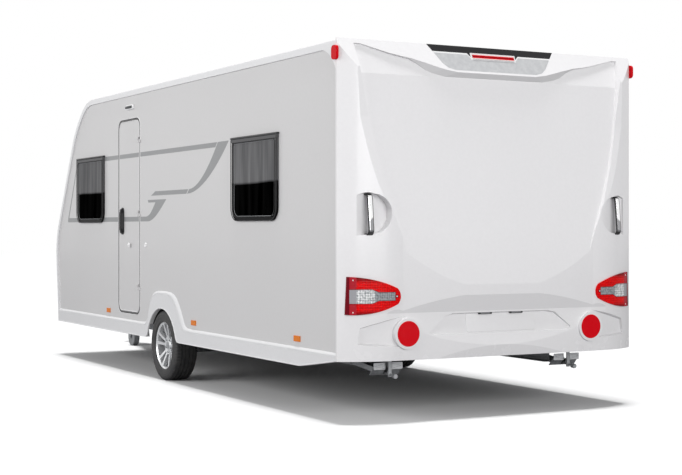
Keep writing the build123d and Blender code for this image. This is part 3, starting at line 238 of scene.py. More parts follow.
def scaled(colour, factor, lift=0.0):
    """The colour made brighter or darker, with a little added to each channel where lift is given."""
    return (*(v * factor + lift for v in colour[:3]), 1.0)


print("a mid grey of 128 is", round(shade(128, 128, 128)[0], 3), "in linear light")

# %% [markdown]
# ## Painted sheet and gelcoat
#
# The walls are thin aluminium sheet, painted a light grey, over a foam core. Such a sheet is never quite
# flat: it has a faint orange peel from the paint and long soft waves. The rear, the roof and the front are
# moulded in white gelcoat, which is smoother and glossier. Both are the same recipe with other numbers, so
# one function makes them: two noises of very different size tint the colour by a percent or two, road dust
# dulls the lower part a little, and a fine noise gives the relief. On the gelcoat, faces that look down are
# painted darker, and more so low down: this is painted shade, which deepens the shading of the moulded rear.


# %% Paint with a little life in it
def painted(name, colour, roughness, peel, dust_top=0.55, dust=0.06, underside_shade=0.0):
    paint = Finish(name, Coat_Weight=0.12, Coat_Roughness=0.08, IOR=1.45)
    height = paint.axes()[2]
    facing = paint.axes(paint.add("ShaderNodeNewGeometry", out="Normal"))[2]
    film = (1 - height.ramp(0.3, dust_top)) * paint.noise(9.0).ramp(0.35, 0.75)
    cloud = paint.noise(0.8).ramp(0.3, 0.7) * 0.5 + paint.noise(40.0, 2.0).ramp(0.3, 0.7) * 0.5
    dusty = (colour[0] * 0.88, colour[1] * 0.87, colour[2] * 0.85, 1.0)
    # painted shade: faces that look down, and more so low down, get a darker copy of the colour
    upright = facing.ramp(-0.34, -0.005) * (height.ramp(0.3, 1.3) * 0.28 + 0.72)
    painted_underside_shade = ((1 - upright) * underside_shade, scaled(colour, 0.74))
    paint.put(
        Base_Color=paint.coats(scaled(colour, 0.965), (cloud, colour), (film * dust, dusty), painted_underside_shade),
        Roughness=film * 0.12 + roughness,
    )
    paint.relief(paint.noise(260.0, 2.0), peel)
    return paint


wall_paint = painted("wall_paint", shade(211, 210, 210), 0.34, 0.00012, 0.55, 0.03)
# the last number, 1.0, turns on the painted shade under faces that look down
gelcoat = painted("gelcoat", shade(236, 235, 236), 0.24, 0.00006, 0.62, 0.02, 1.0)
trim_paint = painted("trim_paint", shade(232, 232, 233), 0.30, 0.00008)
skirt_paint = painted("skirt_paint", shade(229, 229, 230), 0.33, 0.00008, 0.6, 0.10)
print("paints:", wall_paint.material.name, gelcoat.material.name, trim_paint.material.name)

# %% [markdown]
# ## Plastics and rubber
#
# Moulded plastic has a spark-eroded grain, a fine even bump that also makes its shine uneven. Rubber is
# blacker and duller, and turns grey where dust stays on it.


# %% Grained plastic
def moulded(name, colour, roughness, grain=0.00015, scale=900.0):
    plastic = Finish(name, IOR=1.46)
    speck = plastic.noise(scale, 2.0)
    worn = plastic.noise(14.0).ramp(0.45, 0.8) * 0.5
    plastic.put(
        Base_Color=plastic.blend(worn, colour, scaled(colour, 1.25, 0.004)),
        Roughness=speck * 0.15 + roughness,
    )
    plastic.relief(speck, grain)
    return plastic


black_plastic = moulded("black_plastic", shade(24, 24, 26), 0.42)
white_plastic = moulded("white_plastic", shade(238, 238, 238), 0.35)
grey_plastic = moulded("grey_plastic", shade(150, 152, 154), 0.45)
seal_rubber = moulded("seal_rubber", shade(30, 30, 31), 0.6, 0.0002, 500.0)
cover_plastic = moulded("cover_plastic", shade(205, 206, 208), 0.4)
print("plastics:", black_plastic.material.name, grey_plastic.material.name, seal_rubber.material.name)

# %% Tyre rubber
tyre_rubber = Finish("tyre_rubber", IOR=1.5)
road_dust = tyre_rubber.noise(22.0, 5.0).ramp(0.42, 0.78)
grit = tyre_rubber.noise(700.0, 2.0)
tyre_rubber.put(
    Base_Color=tyre_rubber.blend(road_dust * 0.5, shade(46, 46, 47), shade(92, 90, 87)),
    Roughness=road_dust * 0.2 + 0.62,
)
tyre_rubber.relief(grit, 0.0004)
print("tyre:", tyre_rubber.material.name)

# %% [markdown]
# ## Metals
#
# Hot-dip galvanised steel shows its zinc crystals as pale and dark flakes with straight borders. A Voronoi
# texture gives just that when each cell's random colour tips the brightness and the shine. The same
# function, with small changes, makes the cast iron and the machined alloy.


# %% Zinc, alloy, chrome and iron
def metal(name, dark, light, roughness, flake, spread=0.25, metallic=1.0):
    steel = Finish(name, Metallic=metallic)
    cells = steel.add("ShaderNodeTexVoronoi", out="Color", Vector=steel.place(), Scale=flake)
    brightness = steel.add("ShaderNodeRGBToBW", Color=cells)
    stain = steel.noise(6.0, 4.0).ramp(0.3, 0.75)
    tone = brightness * 0.6 + stain * 0.4
    steel.put(Base_Color=steel.blend(tone, dark, light), Roughness=brightness * spread + roughness)
    steel.relief(steel.noise(180.0, 3.0), 0.0002)
    return steel


galvanised = metal("galvanised_steel", (0.26, 0.27, 0.28, 1), (0.54, 0.55, 0.56, 1), 0.36, 70.0, 0.25, 0.8)
alloy = metal("wheel_alloy", (0.70, 0.71, 0.72, 1), (0.90, 0.91, 0.92, 1), 0.22, 25.0, 0.06, 0.55)
chrome = metal("chrome", (0.74, 0.74, 0.75, 1), (0.88, 0.88, 0.89, 1), 0.04, 12.0, 0.03)
iron = metal("zinc_painted_iron", (0.34, 0.34, 0.35, 1), (0.52, 0.52, 0.53, 1), 0.5, 120.0, 0.15, 0.3)
zinc_plate = metal("zinc_plate", (0.66, 0.67, 0.68, 1), (0.86, 0.87, 0.88, 1), 0.42, 90.0, 0.2, 0.1)
bottle_paint = metal("bottle_paint", (0.10, 0.13, 0.16, 1), (0.16, 0.19, 0.23, 1), 0.35, 40.0, 0.1, 0.0)
print("metals:", galvanised.material.name, alloy.material.name, chrome.material.name, iron.material.name)

# %% [markdown]
# ## Lamp lenses
#
# A vehicle lens is a clear or tinted shell with rows of small prisms moulded inside, upright and level ones
# crossing. Two Wave textures with a triangular profile make them. Their mean is the height of the relief,
# and it also picks the brighter tone for the tops, a painted highlight, so the rows still show where they
# are a pixel wide.


# %% Lenses with prisms
def lens_finish(name, deep, bright, rows=95.0):
    lens = Finish(name, Roughness=0.12, IOR=1.49, Specular_IOR_Level=0.08)
    across, up = lens.waves("YZ", rows, wave_profile="TRI")
    cut = across * 0.5 + up * 0.5
    # painted highlight: the tops of the prisms take the brighter tone
    lens.sparkle = cut.ramp(0.25, 0.85)
    lens.put(Base_Color=lens.blend(lens.sparkle, deep, bright))
    lens.relief(cut, 0.0012, 0.6)
    return lens


red_lens = lens_finish("red_lens", shade(204, 0, 16), shade(222, 4, 24), 60.0)
amber_lens = lens_finish("amber_lens", shade(214, 112, 30), shade(244, 150, 60))
deep_red_lens = lens_finish("deep_red_lens", shade(96, 2, 10), shade(150, 10, 20), 60.0)
smoked_lens = lens_finish("smoked_lens", shade(44, 46, 48), shade(120, 122, 124))

# %% [markdown]
# The tail lamp is one bullet-shaped shell in three parts: red above and below, and between them a silvery
# band that holds the indicator and the reversing lamp. The band is tall outboard and narrows towards the
# point. In the shader it is the place where the height above the band's middle is less than a half-height
# which itself depends on the distance from the centre line.

# %% The tail lamp's red and silver
tail_lamp_middle = 0.853
tail_lens = lens_finish("tail_lens", shade(170, 6, 14), shade(225, 22, 26), 19.0)
_, across, up = tail_lens.axes()
outboard = across.size()
height = (up - tail_lamp_middle).size()
blotch = tail_lens.noise(70.0, 2.0).ramp(0.38, 0.62)
# half painted prism highlight, half random blotches of tone
glint_and_blotch = tail_lens.sparkle * 0.5 + blotch * 0.5
half_height = outboard.ramp(0.985, 1.03) * 0.019 + 0.027
band = height.under(half_height) * outboard.over(0.866)
rim_line = height.under(half_height + 0.004) * outboard.over(0.862)
bulb = outboard.ramp(1.005, 1.02) * (1 - outboard.ramp(1.125, 1.135))
strip = outboard.over(1.130)
silver = tail_lens.coats(
    tail_lens.blend(glint_and_blotch, shade(104, 110, 112), shade(176, 178, 182)),
    (bulb, tail_lens.blend(glint_and_blotch, shade(132, 138, 140), shade(252, 252, 252))),
    (strip, shade(160, 160, 164)),
)
tail_lens.put(Base_Color=tail_lens.coats(
    tail_lens.blend(glint_and_blotch, shade(188, 2, 6), shade(246, 8, 12)),
    (height.ramp(0.088, 0.118), shade(120, 2, 8)),
    (strip, shade(176, 36, 48)),
    (rim_line, shade(120, 8, 14)),
    (band, silver),
    (outboard.over(1.172), shade(112, 10, 26)),
))
print("lenses:", red_lens.material.name, amber_lens.material.name, tail_lens.material.name)

# %% The brake lamp, dark in the middle and pale at its edge
brake_lamp_middle = 2.504
brake_lens = lens_finish("brake_lens", shade(150, 0, 8), shade(206, 6, 16), 30.0)
core = (brake_lens.axes()[2] - brake_lamp_middle).size()
brake_lens.put(Base_Color=brake_lens.coats(
    shade(140, 0, 8),
    (core.ramp(0.003, 0.009), shade(224, 10, 22)),
    (core.over(0.0115), shade(226, 214, 214)),
))
print("brake lamp:", brake_lens.material.name)

# %% [markdown]
# ## Tinted windows
#
# Caravan windows are double acrylic panes, tinted so dark that hardly anything of the cabin shows. Outside,
# they mirror what stands opposite: a pale upper part and, below a nearly level line, something dark. The
# panes here carry that as a painted reflection, grey above the line and almost black below it, with a moulded
# border that carries the same painted reflection. A little of the cabin comes through, because the panes
# aren't quite opaque.

# %% Acrylic panes
pane_finish = Finish("tinted_acrylic", Roughness=0.06, IOR=1.49, Specular_IOR_Level=0.0, Alpha=0.99)
# painted reflection: grey above a nearly level line and almost black below it, with streaks
skyline = (pane_finish.axes()[2] + pane_finish.noise(3.0, 1.0) * 0.03).ramp(1.652, 1.672)
streak = pane_finish.noise(5.0, 2.0, stretch=(3.0, 1.0, 0.25)).ramp(0.35, 0.75)
upper = pane_finish.blend(streak, shade(100, 100, 101), shade(128, 128, 129))
lower = pane_finish.blend(streak, shade(0, 0, 0), shade(14, 14, 14))
pane_finish.put(Base_Color=pane_finish.blend(skyline, lower, upper))

pane_border = Finish("pane_border", Specular_IOR_Level=0.03, IOR=1.49)
# the border carries the same painted reflection, grey above and almost black below
skyline = (pane_border.axes()[2] + pane_border.noise(3.0, 1.0) * 0.02).ramp(1.655, 1.668)
matt = pane_border.noise(60.0, 2.0)
pane_border.put(
    Base_Color=pane_border.blend(skyline, shade(16, 16, 17), shade(98, 98, 99)),
    Roughness=matt * 0.1 + 0.2,
)
pane_border.relief(matt, 0.0001)
print("panes:", pane_finish.material.name, "border:", pane_border.material.name)

# %% [markdown]
# ## Inside the cabin
#
# The furniture is foil-wrapped board with a wood grain, the lining a pale embossed paper, and the soft parts
# are woven. A weave is two sets of threads at right angles. Two Wave textures give the threads, and the
# higher of the two at each place is the thread that lies on top; it is painted lighter the higher it lies, a
# painted highlight on the crowns of the threads.

# %% Wood foil, lining and cloth
wood_foil = Finish("wood_foil", IOR=1.45)
grain = wood_foil.noise(9.0, 6.0, stretch=(1.0, 1.0, 14.0)).ramp(0.3, 0.7)
foil = wood_foil.blend(grain, shade(122, 92, 64), shade(172, 138, 100))
wood_foil.put(Base_Color=foil, Roughness=grain * 0.1 + 0.4)
wood_foil.relief(grain, 0.0002)
lining = moulded("wall_lining", shade(205, 202, 196), 0.6, 0.0004, 220.0)


def woven(name, colour, threads):
    cloth = Finish(name, Roughness=0.9, Sheen_Weight=0.3)
    warp, weft = cloth.waves("XZ", threads, 0.4)
    top = warp.sum("MAXIMUM", warp, weft)
    # painted highlight: the higher the thread, the lighter its colour
    cloth.put(Base_Color=cloth.blend(top, colour, scaled(colour, 1.35)))
    cloth.relief(top, 0.0005)
    return cloth


curtain_cloth = woven("curtain_cloth", shade(150, 146, 140), 160.0)
seat_cloth = woven("seat_cloth", shade(104, 100, 96), 110.0)
piping = woven("seat_piping", shade(62, 60, 58), 220.0)
floor_board = Finish("floor_board", IOR=1.45)
planks = floor_board.noise(7.0, 6.0, stretch=(0.3, 14.0, 1.0)).ramp(0.3, 0.7)
floor_middle = 0.468  # between the board's two faces
underside = (floor_board.axes()[2].under(floor_middle), shade(38, 38, 39))
boards = floor_board.blend(planks, shade(120, 104, 86), shade(156, 138, 116))
floor_board.put(Base_Color=floor_board.coats(boards, underside), Roughness=planks * 0.15 + 0.45)
floor_board.relief(planks, 0.0002)
print("cabin:", wood_foil.material.name, curtain_cloth.material.name)

# %% [markdown]
# ## The inlay over the rear
#
# Under the spoiler's edge lies a shaped inlay in two tones: a black strip along the top, then a pale grey
# field, with a white border where they meet and round the brake lamp. The grab bars have a bright face with
# a painted reflection: the white room above, and the dark ground below a slanting line.

# %% Inlay and grab bar face
inlay = Finish("spoiler_inlay", Specular_IOR_Level=0.25, IOR=1.45)
_, across, up = inlay.axes()
drop = (1 - across.size().ramp(0.190, 0.215)) * 0.026
black_strip = (up + drop).over(2.524)
border = (up + drop - 2.519).size().under(0.005)
lamp_border = across.size().under(0.190) * (up - 2.5045).size().under(0.024)
toned = inlay.coats(
    inlay.blend(inlay.noise(30.0).ramp(0.3, 0.7), shade(184, 185, 187), shade(196, 197, 198)),
    (black_strip, shade(30, 30, 32)),
    (border, shade(232, 232, 232)),
    (lamp_border, shade(226, 226, 226)),
)
inlay.put(Base_Color=toned, Roughness=inlay.noise(50.0) * 0.1 + 0.25)

bar_face = Finish("grab_bar_face", Metallic=1.0)
_, across, up = bar_face.axes()
polish = bar_face.noise(20.0).ramp(0.3, 0.7)
# painted reflection: a darker colour for the ground below a slanting line
painted_ground_reflection = (up + across.size() * 0.8).ramp(2.196, 2.206)
bright = bar_face.blend(polish, (0.86, 0.86, 0.87, 1), (0.96, 0.96, 0.96, 1))
painted_reflection = bar_face.blend(painted_ground_reflection, (0.34, 0.34, 0.35, 1), bright)
bar_face.put(Base_Color=painted_reflection, Roughness=polish * 0.04 + 0.05)
print("inlay:", inlay.material.name, "bars:", bar_face.material.name)

# %% [markdown]
# ## Giving every solid its finish
#
# The solids come in with a plain material each. Their meshes stay as they are, and only the material slots
# change. A table that goes from finish to nodes shows at a glance which piece has which surface.

# %% Finishes for the solids
finishes = {
    wall_paint: ["side_wall_left", "side_wall_right", "entry_door", "service_hatch", "fixed_hinges"],
    gelcoat: ["rear_panel", "roof_panel", "front_panel", "gas_locker_lid", "drawbar_cover"],
    trim_paint: ["roof_rails"],
    skirt_paint: ["side_skirts", "wheel_spats"],
    white_plastic: ["wall_vents", "awning_lamp"],
    black_plastic: ["door_handle", "wheel_housings", "handbrake_lever"],
    pane_border: ["window_frames"],
    grey_plastic: ["jockey_wheel"],
    cover_plastic: ["rooflights"],
    pane_finish: ["window_panes"],
    tail_lens: ["tail_lamps"],
    red_lens: ["round_reflectors", "marker_lamps"],
    brake_lens: ["brake_lamp"],
    amber_lens: ["side_reflectors"],
    inlay: ["high_level_panel"],
    bar_face: ["grab_handles"],
    galvanised: ["chassis_rails", "cross_members", "drawbar_arms", "axle", "overrun_housing", "coupling_head"]
    + ["jockey_tube", "jockey_shaft", "jockey_fork", "steady_frames"],
    alloy: ["rim_left", "rim_right"],
    iron: ["brake_drum_left", "brake_drum_right"],
    tyre_rubber: ["tyre_left", "tyre_right"],
    bottle_paint: ["gas_bottles"],
    wood_foil: ["furniture"],
    floor_board: ["floor_panel"],
    lining: ["inner_lockers"],
    curtain_cloth: ["curtains"],
    seat_cloth: ["seat_cushions"],
}
finishes[galvanised] += [name for name in parts if name.startswith(("steady_leg", "steady_brace"))]


def wear(thing, finish):
    thing.data.materials.clear()
    thing.data.materials.append(finish.material)


for finish, names in finishes.items():
    for name in names:
        wear(parts[name], finish)
bare = set(parts) - {name for names in finishes.values() for name in names}
print("solids with a finish:", len(parts) - len(bare), "bare:", sorted(bare))

# %% [markdown]
# ## Three ways to make a small piece
#
# What is too thin or too fine for the solids is made here: a **plate** from its outline, a **lathed** piece
# from half its section, and a **bead** from the line it follows. Each takes the body that it rides on, since
# a decal on the door has to swing with the door.


# %% Plates, lathed pieces and beads
def settle(name, mesh_data, finish, body):
    thing = bpy.data.objects.new(name, mesh_data)
    bpy.context.scene.collection.objects.link(thing)
    thing.data.materials.append(finish.material)
    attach(thing, body)
    return thing


def from_bmesh(name, work, finish, body, smooth_angle=None):
    bmesh.ops.recalc_face_normals(work, faces=work.faces)
    data = bpy.data.meshes.new(name)
    work.to_mesh(data)
    work.free()
    if smooth_angle is not None:
        data.shade_smooth()
        data.set_sharp_from_angle(angle=math.radians(smooth_angle))
    return settle(name, data, finish, body)


def lace(work, rings, round_section=True, round_run=False, ends=False):
    """Joins each ring of vertices to the next with quads, and closes the ends where asked."""
    pairs = list(zip(rings, rings[1:]))
    if round_run:
        pairs.append((rings[-1], rings[0]))
    for here, there in pairs:
        for spot in range(len(here) if round_section else len(here) - 1):
            after = (spot + 1) % len(here)
            work.faces.new((here[spot], here[after], there[after], there[spot]))
    if ends:
        work.faces.new(rings[0])
        work.faces.new(rings[-1])


def plate(name, outline, lift, finish, body="caravan", bevel=0.0):
    """A flat piece: its outline is a list of points in space, and lift is the vector of its thickness."""
    work = bmesh.new()
    face = work.faces.new([work.verts.new(point) for point in outline])
    grown = bmesh.ops.extrude_face_region(work, geom=[face])
    moved = [item for item in grown["geom"] if isinstance(item, bmesh.types.BMVert)]
    bmesh.ops.translate(work, verts=moved, vec=Vector(lift))
    if bevel:
        rim = {edge for edge in work.edges if all(v in moved for v in edge.verts)}
        bmesh.ops.bevel(work, geom=list(rim), offset=bevel, segments=2, affect="EDGES", profile=0.6)
    return from_bmesh(name, work, finish, body, 35)


def lathed(name, section, foot, axis, finish, body="caravan", steps=32):
    """A turned piece: its section is a list of radius and height, the height counted along the axis."""
    work = bmesh.new()
    turn = Vector(axis).to_track_quat("Z", "Y").to_matrix()
    rings = []
    for radius, height in section:
        count = 1 if radius < 1e-6 else steps
        ring = []
        for step in range(count):
            angle = 2 * math.pi * step / count
            place = turn @ Vector((radius * math.cos(angle), radius * math.sin(angle), height))
            ring.append(work.verts.new(place + Vector(foot)))
        rings.append(ring)
    for lower, upper in zip(rings, rings[1:]):
        for step in range(steps):
            corners = [lower[step % len(lower)], lower[(step + 1) % len(lower)]]
            corners += [upper[(step + 1) % len(upper)], upper[step % len(upper)]]
            corners = list(dict.fromkeys(corners))
            if len(corners) > 2:
                work.faces.new(corners)
    return from_bmesh(name, work, finish, body, 35)


def bead(name, points, radius, finish, body="caravan"):
    """A round bead on a closed line, such as a seal or piping."""
    line = bpy.data.curves.new(name, "CURVE")
    line.dimensions = "3D"
    line.bevel_depth = radius
    line.bevel_resolution = 2
    run = line.splines.new("POLY")
    run.points.add(len(points) - 1)
    for knot, point in zip(run.points, points):
        knot.co = (*point, 1.0)
    run.use_cyclic_u = True
    return settle(name, line, finish, body)


def rounded(low, high, corner, steps=6, head=None):
    """A rectangle with round corners, as pairs, counter-clockwise: head is the radius of the upper two."""
    head = corner if head is None else head
    outline = []
    for quarter, (right, radius) in enumerate(((True, head), (False, head), (False, corner), (True, corner))):
        u = high[0] - radius if right else low[0] + radius
        v = high[1] - radius if quarter < 2 else low[1] + radius
        for step in range(steps + 1):
            angle = math.pi / 2 * (quarter + step / steps)
            outline.append((u + radius * math.cos(angle), v + radius * math.sin(angle)))
    return outline


def swept(name, path, section, y, finish):
    """A bar that follows a path of (x, z) pairs: its section is a list of (outwards, sideways) pairs."""
    work = bmesh.new()
    rings = []
    for spot, (x, z) in enumerate(path):
        before, after = path[max(spot - 1, 0)], path[min(spot + 1, len(path) - 1)]
        run = Vector((after[0] - before[0], 0, after[1] - before[1])).normalized()
        out = Vector((run.z, 0, -run.x))
        places = [Vector((x, y + sideways, z)) + out * lift for lift, sideways in section]
        rings.append([work.verts.new(place) for place in places])
    lace(work, rings, ends=True)
    return from_bmesh(name, work, finish, "caravan", 40)


def solids(node):
    """The box of each separate solid in a node, sorted by place."""
    mesh = parts[node].data
    group = list(range(len(mesh.vertices)))

    def root(spot):
        while group[spot] != spot:
            group[spot] = group[group[spot]]
            spot = group[spot]
        return spot

    same_place = {}
    for vertex in mesh.vertices:
        key = tuple(round(v, 5) for v in vertex.co)
        group[root(vertex.index)] = root(same_place.setdefault(key, vertex.index))
    for edge in mesh.edges:
        group[root(edge.vertices[0])] = root(edge.vertices[1])
    boxes = {}
    for vertex in mesh.vertices:
        boxes.setdefault(root(vertex.index), []).append(vertex.co)
    corners = [(Vector(map(min, zip(*box))), Vector(map(max, zip(*box)))) for box in boxes.values()]
    return sorted(corners, key=lambda pair: tuple(pair[0]))


print("helpers for plates, lathed pieces, beads and bars are ready;", len(solids("curtains")), "curtains")

# %% [markdown]
# ## The stripes
#
# The side carries a graphic in cut film: an upper band that turns down into a curved leg and a middle bar,
# and a low band that ends in a hook. It could be a mask in the paint, but film has edges you can feel and
# stops at the door's gap, so it is thin plates lying on the skin, and those on the door ride on the door.
# Places along the side are counted from the rear end of the wall, the station, as a coachbuilder would.
# The round stretches are Bezier curves with two handles each.

# %% The graphic on the sides
door_low, door_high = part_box("entry_door")
rear_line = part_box("side_wall_left")[0].x
skin = abs(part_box("side_wall_right")[0].y)
door_rear = door_low.x - rear_line
door_front = door_high.x - rear_line
film_finish = painted("stripe_film", shade(146, 147, 148), 0.38, 0.00005)
film_lift = 0.0004


def sweep_curve(start, handle_one, handle_two, end, count=14):
    knots = [Vector((*point, 0.0)) for point in (start, handle_one, handle_two, end)]
    return [(p.x, p.y) for p in interpolate_bezier(*knots, count)]


def film(name, outline, side, body="caravan"):
    points = [(rear_line + station, side * skin, height) for station, height in outline]
    return plate(name, points, (0, side * film_lift, 0), film_finish, body)


band_top, band_foot = 1.985, 1.946
bar_top, bar_foot = 1.629, 1.592
low_top, low_foot = 1.410, 1.368
leg = sweep_curve((1.759, band_top), (2.02, 1.76), (2.33, bar_foot), (2.602, bar_foot))
leg += list(reversed(sweep_curve((1.969, band_top), (2.14, 1.80), (2.36, 1.632), (2.557, bar_top))))
middle_bar = [(2.575, bar_top), (2.620, bar_foot), (3.428, bar_foot), (3.322, bar_top)]
hook_round = sweep_curve((3.066, 1.556), (3.20, 1.47), (3.36, low_foot), (3.50, low_foot))
hook_inside = list(reversed(sweep_curve((3.322, 1.533), (3.39, 1.475), (3.45, low_top), (3.56, low_top))))
door_gap = 0.010


def bar(start, end, foot, top):
    return [(start, foot), (end, foot), (end, top), (start, top)]


front_line = [(5.468, 1.955), (5.478, 1.962), (5.486, 1.956), (5.778, 1.396), (5.784, 1.380)]
front_line += [(5.772, low_foot), (5.30, low_foot), (5.30, low_top), (5.740, low_top)]
for side, word in sides:
    film(f"stripe_leg_{word}", leg, side)
    film(f"stripe_middle_bar_{word}", middle_bar, side)
    has_door = side > 0
    upper_ends = [(1.981, 4.66)]
    if has_door:
        upper_ends = [(1.981, door_rear - door_gap), (door_front + door_gap, 4.66)]
    for number, (start, end) in enumerate(upper_ends):
        outline = bar(start, end, band_foot, band_top)
        if number == 0:
            outline[0] = (2.020, band_foot)
        film(f"stripe_upper_{word}_{number + 1}", outline, side)
    hook_end = door_rear - door_gap if has_door else 4.70
    hook_tip = [(hook_end, low_foot), (hook_end, low_top)]
    hook = [(3.507, 1.556)] + hook_round + hook_tip + hook_inside + [(3.49, 1.533)]
    film(f"stripe_hook_{word}", hook, side)
    film(f"stripe_front_{word}", front_line, side)
    if has_door:
        film("stripe_low_left", bar(door_front + door_gap, 4.70, low_foot, low_top), side)
        for label, foot, top in (("upper", band_foot, band_top), ("low", low_foot, low_top)):
            inside = bar(door_rear + 0.004, door_front - 0.004, foot, top)
            film(f"stripe_door_{label}", inside, side, "entry_door")
print("stripes from station 1.76 to 5.78, door from", round(door_rear, 3), "to", round(door_front, 3))

# %% [markdown]
# ## The door's seal and its catches
#
# A black rubber seal fills the gap round the door, and beside it on the wall a dark bead is a painted
# shadow; together they show as a thin dark line between two white edges, one on the wall and one on the door.
# A white socket on the wall and a white stud on the door hold it open when it is folded back.

# %% Door seal, socket and stud
def door_line(margin, corner, depth):
    low = (door_low.x - margin, door_low.z - margin)
    high = (door_high.x + margin, door_high.z + margin)
    return [(x, skin + depth, z) for x, z in rounded(low, high, corner)]


bead("door_seal", door_line(0.004, 0.072, -0.003), 0.0042, seal_rubber)
# a dark bead laid on the wall beside the seal: a painted shadow along the gap
bead("door_shadow_line", door_line(0.0125, 0.080, -0.0015), 0.0046, seal_rubber)
bead("door_edge_outer", door_line(0.0215, 0.088, -0.0008), 0.0042, gelcoat)
bead("door_edge_inner", door_line(-0.0060, 0.062, -0.0008), 0.0034, gelcoat, "entry_door")
socket = [(0.0, 0.004), (0.009, 0.004), (0.012, 0.009), (0.018, 0.010), (0.0215, 0.006), (0.022, 0.0)]
stud = [(0.0, 0.011), (0.007, 0.0105), (0.009, 0.006), (0.016, 0.005), (0.021, 0.003), (0.022, 0.0)]
stud_foot = (rear_line + 3.935, door_high.y - 0.0015, 1.156)
lathed("door_socket", socket, (rear_line + 3.554, skin, 1.158), (0, 1, 0), white_plastic)
lathed("door_stud", stud, stud_foot, (0, 1, 0), white_plastic, "entry_door")
print("door seal round", len(door_line(0, 0.07, 0)), "points")

# %% [markdown]
# ## Tyres
#
# The solid of a tyre is a plain ring with the right outline. The real one has four grooves round the tread,
# blocks on the shoulders and raised ribs on the wall. Cutting all that with booleans would be slow and
# messy. It is easier to lathe the section in small steps and, while turning it, to let the radius drop
# wherever a groove should be, so the pattern is one test on the angle and the width.

# %% Tyres with a tread
tyre_low, tyre_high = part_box("tyre_left")
wheel_centre = (tyre_low + tyre_high) / 2
tyre_radius = (tyre_high.z - tyre_low.z) / 2
tyre_half = (tyre_high.y - tyre_low.y) / 2
bead_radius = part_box("rim_left")[1].z - wheel_centre.z - 0.006
groove_depth = 0.006
pitches = 66
steps_per_pitch = 6
grooves = (-0.052, -0.018, 0.018, 0.052)
wall_ribs = (0.232, 0.246, 0.262)
outboard_growth = 0.014  # the real wall bulges outboard more than the solid does


def tyre_section():
    """Half of the section from the bead over the wall to the middle of the tread: radius and offset."""
    section = [(bead_radius, tyre_half - 0.020), (bead_radius + 0.004, tyre_half - 0.009)]
    section += [(bead_radius + 0.012, tyre_half - 0.004)]
    for rib in wall_ribs:
        out = tyre_half - 0.0015 - abs(rib - wall_ribs[1]) * 0.06
        section += [(rib - 0.004, out - 0.001), (rib - 0.003, out)]
        section += [(rib + 0.003, out), (rib + 0.004, out - 0.001)]
    section += [(tyre_radius - 0.020, tyre_half - 0.006), (tyre_radius - 0.010, tyre_half - 0.011)]
    section += [(tyre_radius - 0.004, tyre_half - 0.016), (tyre_radius - 0.0006, tyre_half - 0.022)]
    for middle in reversed([g for g in grooves if g > 0]):
        section += [(tyre_radius, middle + 0.0055), (tyre_radius - groove_depth, middle + 0.0045)]
        section += [(tyre_radius - groove_depth, middle - 0.0045), (tyre_radius, middle - 0.0055)]
    return section


def tread_dip(offset, phase):
    """How far the tread drops at a width and at a phase of its pitch, 0 to 1."""
    width = abs(offset)
    if width > 0.058:
        return 0.0045 if phase < 0.18 else 0.0
    skew = (phase + width * 9.0) % 1.0
    if 0.025 < width < 0.050:
        return 0.0025 if skew < 0.18 else 0.0
    return 0.0


half_section = tyre_section()
whole_section = half_section + [(radius, -offset) for radius, offset in reversed(half_section)]
for side, word in sides:
    work = bmesh.new()
    steps = pitches * steps_per_pitch
    rings = []
    for step in range(steps):
        angle = 2 * math.pi * step / steps
        phase = (step % steps_per_pitch) / steps_per_pitch
        ring = []
        for radius, offset in whole_section:
            dip = tread_dip(offset, phase) if radius > tyre_radius - 0.012 else 0.0
            reach = radius - dip
            place = (
                wheel_centre.x + reach * math.cos(angle),
                side * (wheel_centre.y + offset + (outboard_growth if offset > 0.060 else 0.0)),
                wheel_centre.z + reach * math.sin(angle),
            )
            ring.append(work.verts.new(place))
        rings.append(ring)
    lace(work, rings, round_run=True)
    tyre = from_bmesh(f"tread_tyre_{word}", work, tyre_rubber, f"wheel_{word}", 28)
    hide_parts(f"tyre_{word}")
print("tyre radius", round(tyre_radius, 3), "m,", 2 * len(whole_section) * steps, "triangles each")

# %% [markdown]
# ## Wheel bolts, cap and valve
#
# Five bolts sit in pockets between the hub and the spokes. Each has a conical seat and a hexagonal head,
# which is a lathed piece with only six steps round. The cap in the middle is a shallow dome.

# %% Bolts, caps and valves
hub_face = wheel_centre.y + tyre_half - 0.034
bolt_circle, bolt_count = 0.056, 5
cap_section = [(0.0, 0.007), (0.012, 0.0065), (0.024, 0.0045), (0.029, 0.002), (0.031, 0.0)]
seat_section = [(0.0115, 0.0), (0.0115, 0.002), (0.0095, 0.004), (0.0, 0.004)]
head_section = [(0.0098, 0.0), (0.0098, 0.011), (0.0088, 0.0125), (0.0, 0.0125)]
valve_section = [(0.0, 0.030), (0.0032, 0.029), (0.004, 0.022), (0.0036, 0.020)]
valve_section += [(0.0036, 0.008), (0.006, 0.0)]
first_angle = math.radians(126)


def round_hub(angle, reach, out):
    """A place at an angle and a distance from the hub's middle."""
    return wheel_centre.x + reach * math.cos(angle), out, wheel_centre.z + reach * math.sin(angle)


for side, word in sides:
    out = (0, side, 0)
    body = f"wheel_{word}"
    cap_foot = round_hub(0, 0, side * hub_face)
    lathed(f"wheel_cap_{word}", cap_section, cap_foot, out, grey_plastic, body)
    for number in range(bolt_count):
        angle = first_angle + 2 * math.pi * number / bolt_count
        spot = round_hub(angle, bolt_circle, side * (hub_face - 0.0075))
        lathed(f"bolt_seat_{word}_{number + 1}", seat_section, spot, out, galvanised, body, 20)
        lathed(f"bolt_{word}_{number + 1}", head_section, spot, out, galvanised, body, 6)
    stem = round_hub(first_angle, bead_radius - 0.022, side * (wheel_centre.y + 0.045))
    lathed(f"valve_{word}", valve_section, stem, out, seal_rubber, body, 14)
print("hub face at", round(hub_face, 3), "m from the middle line")

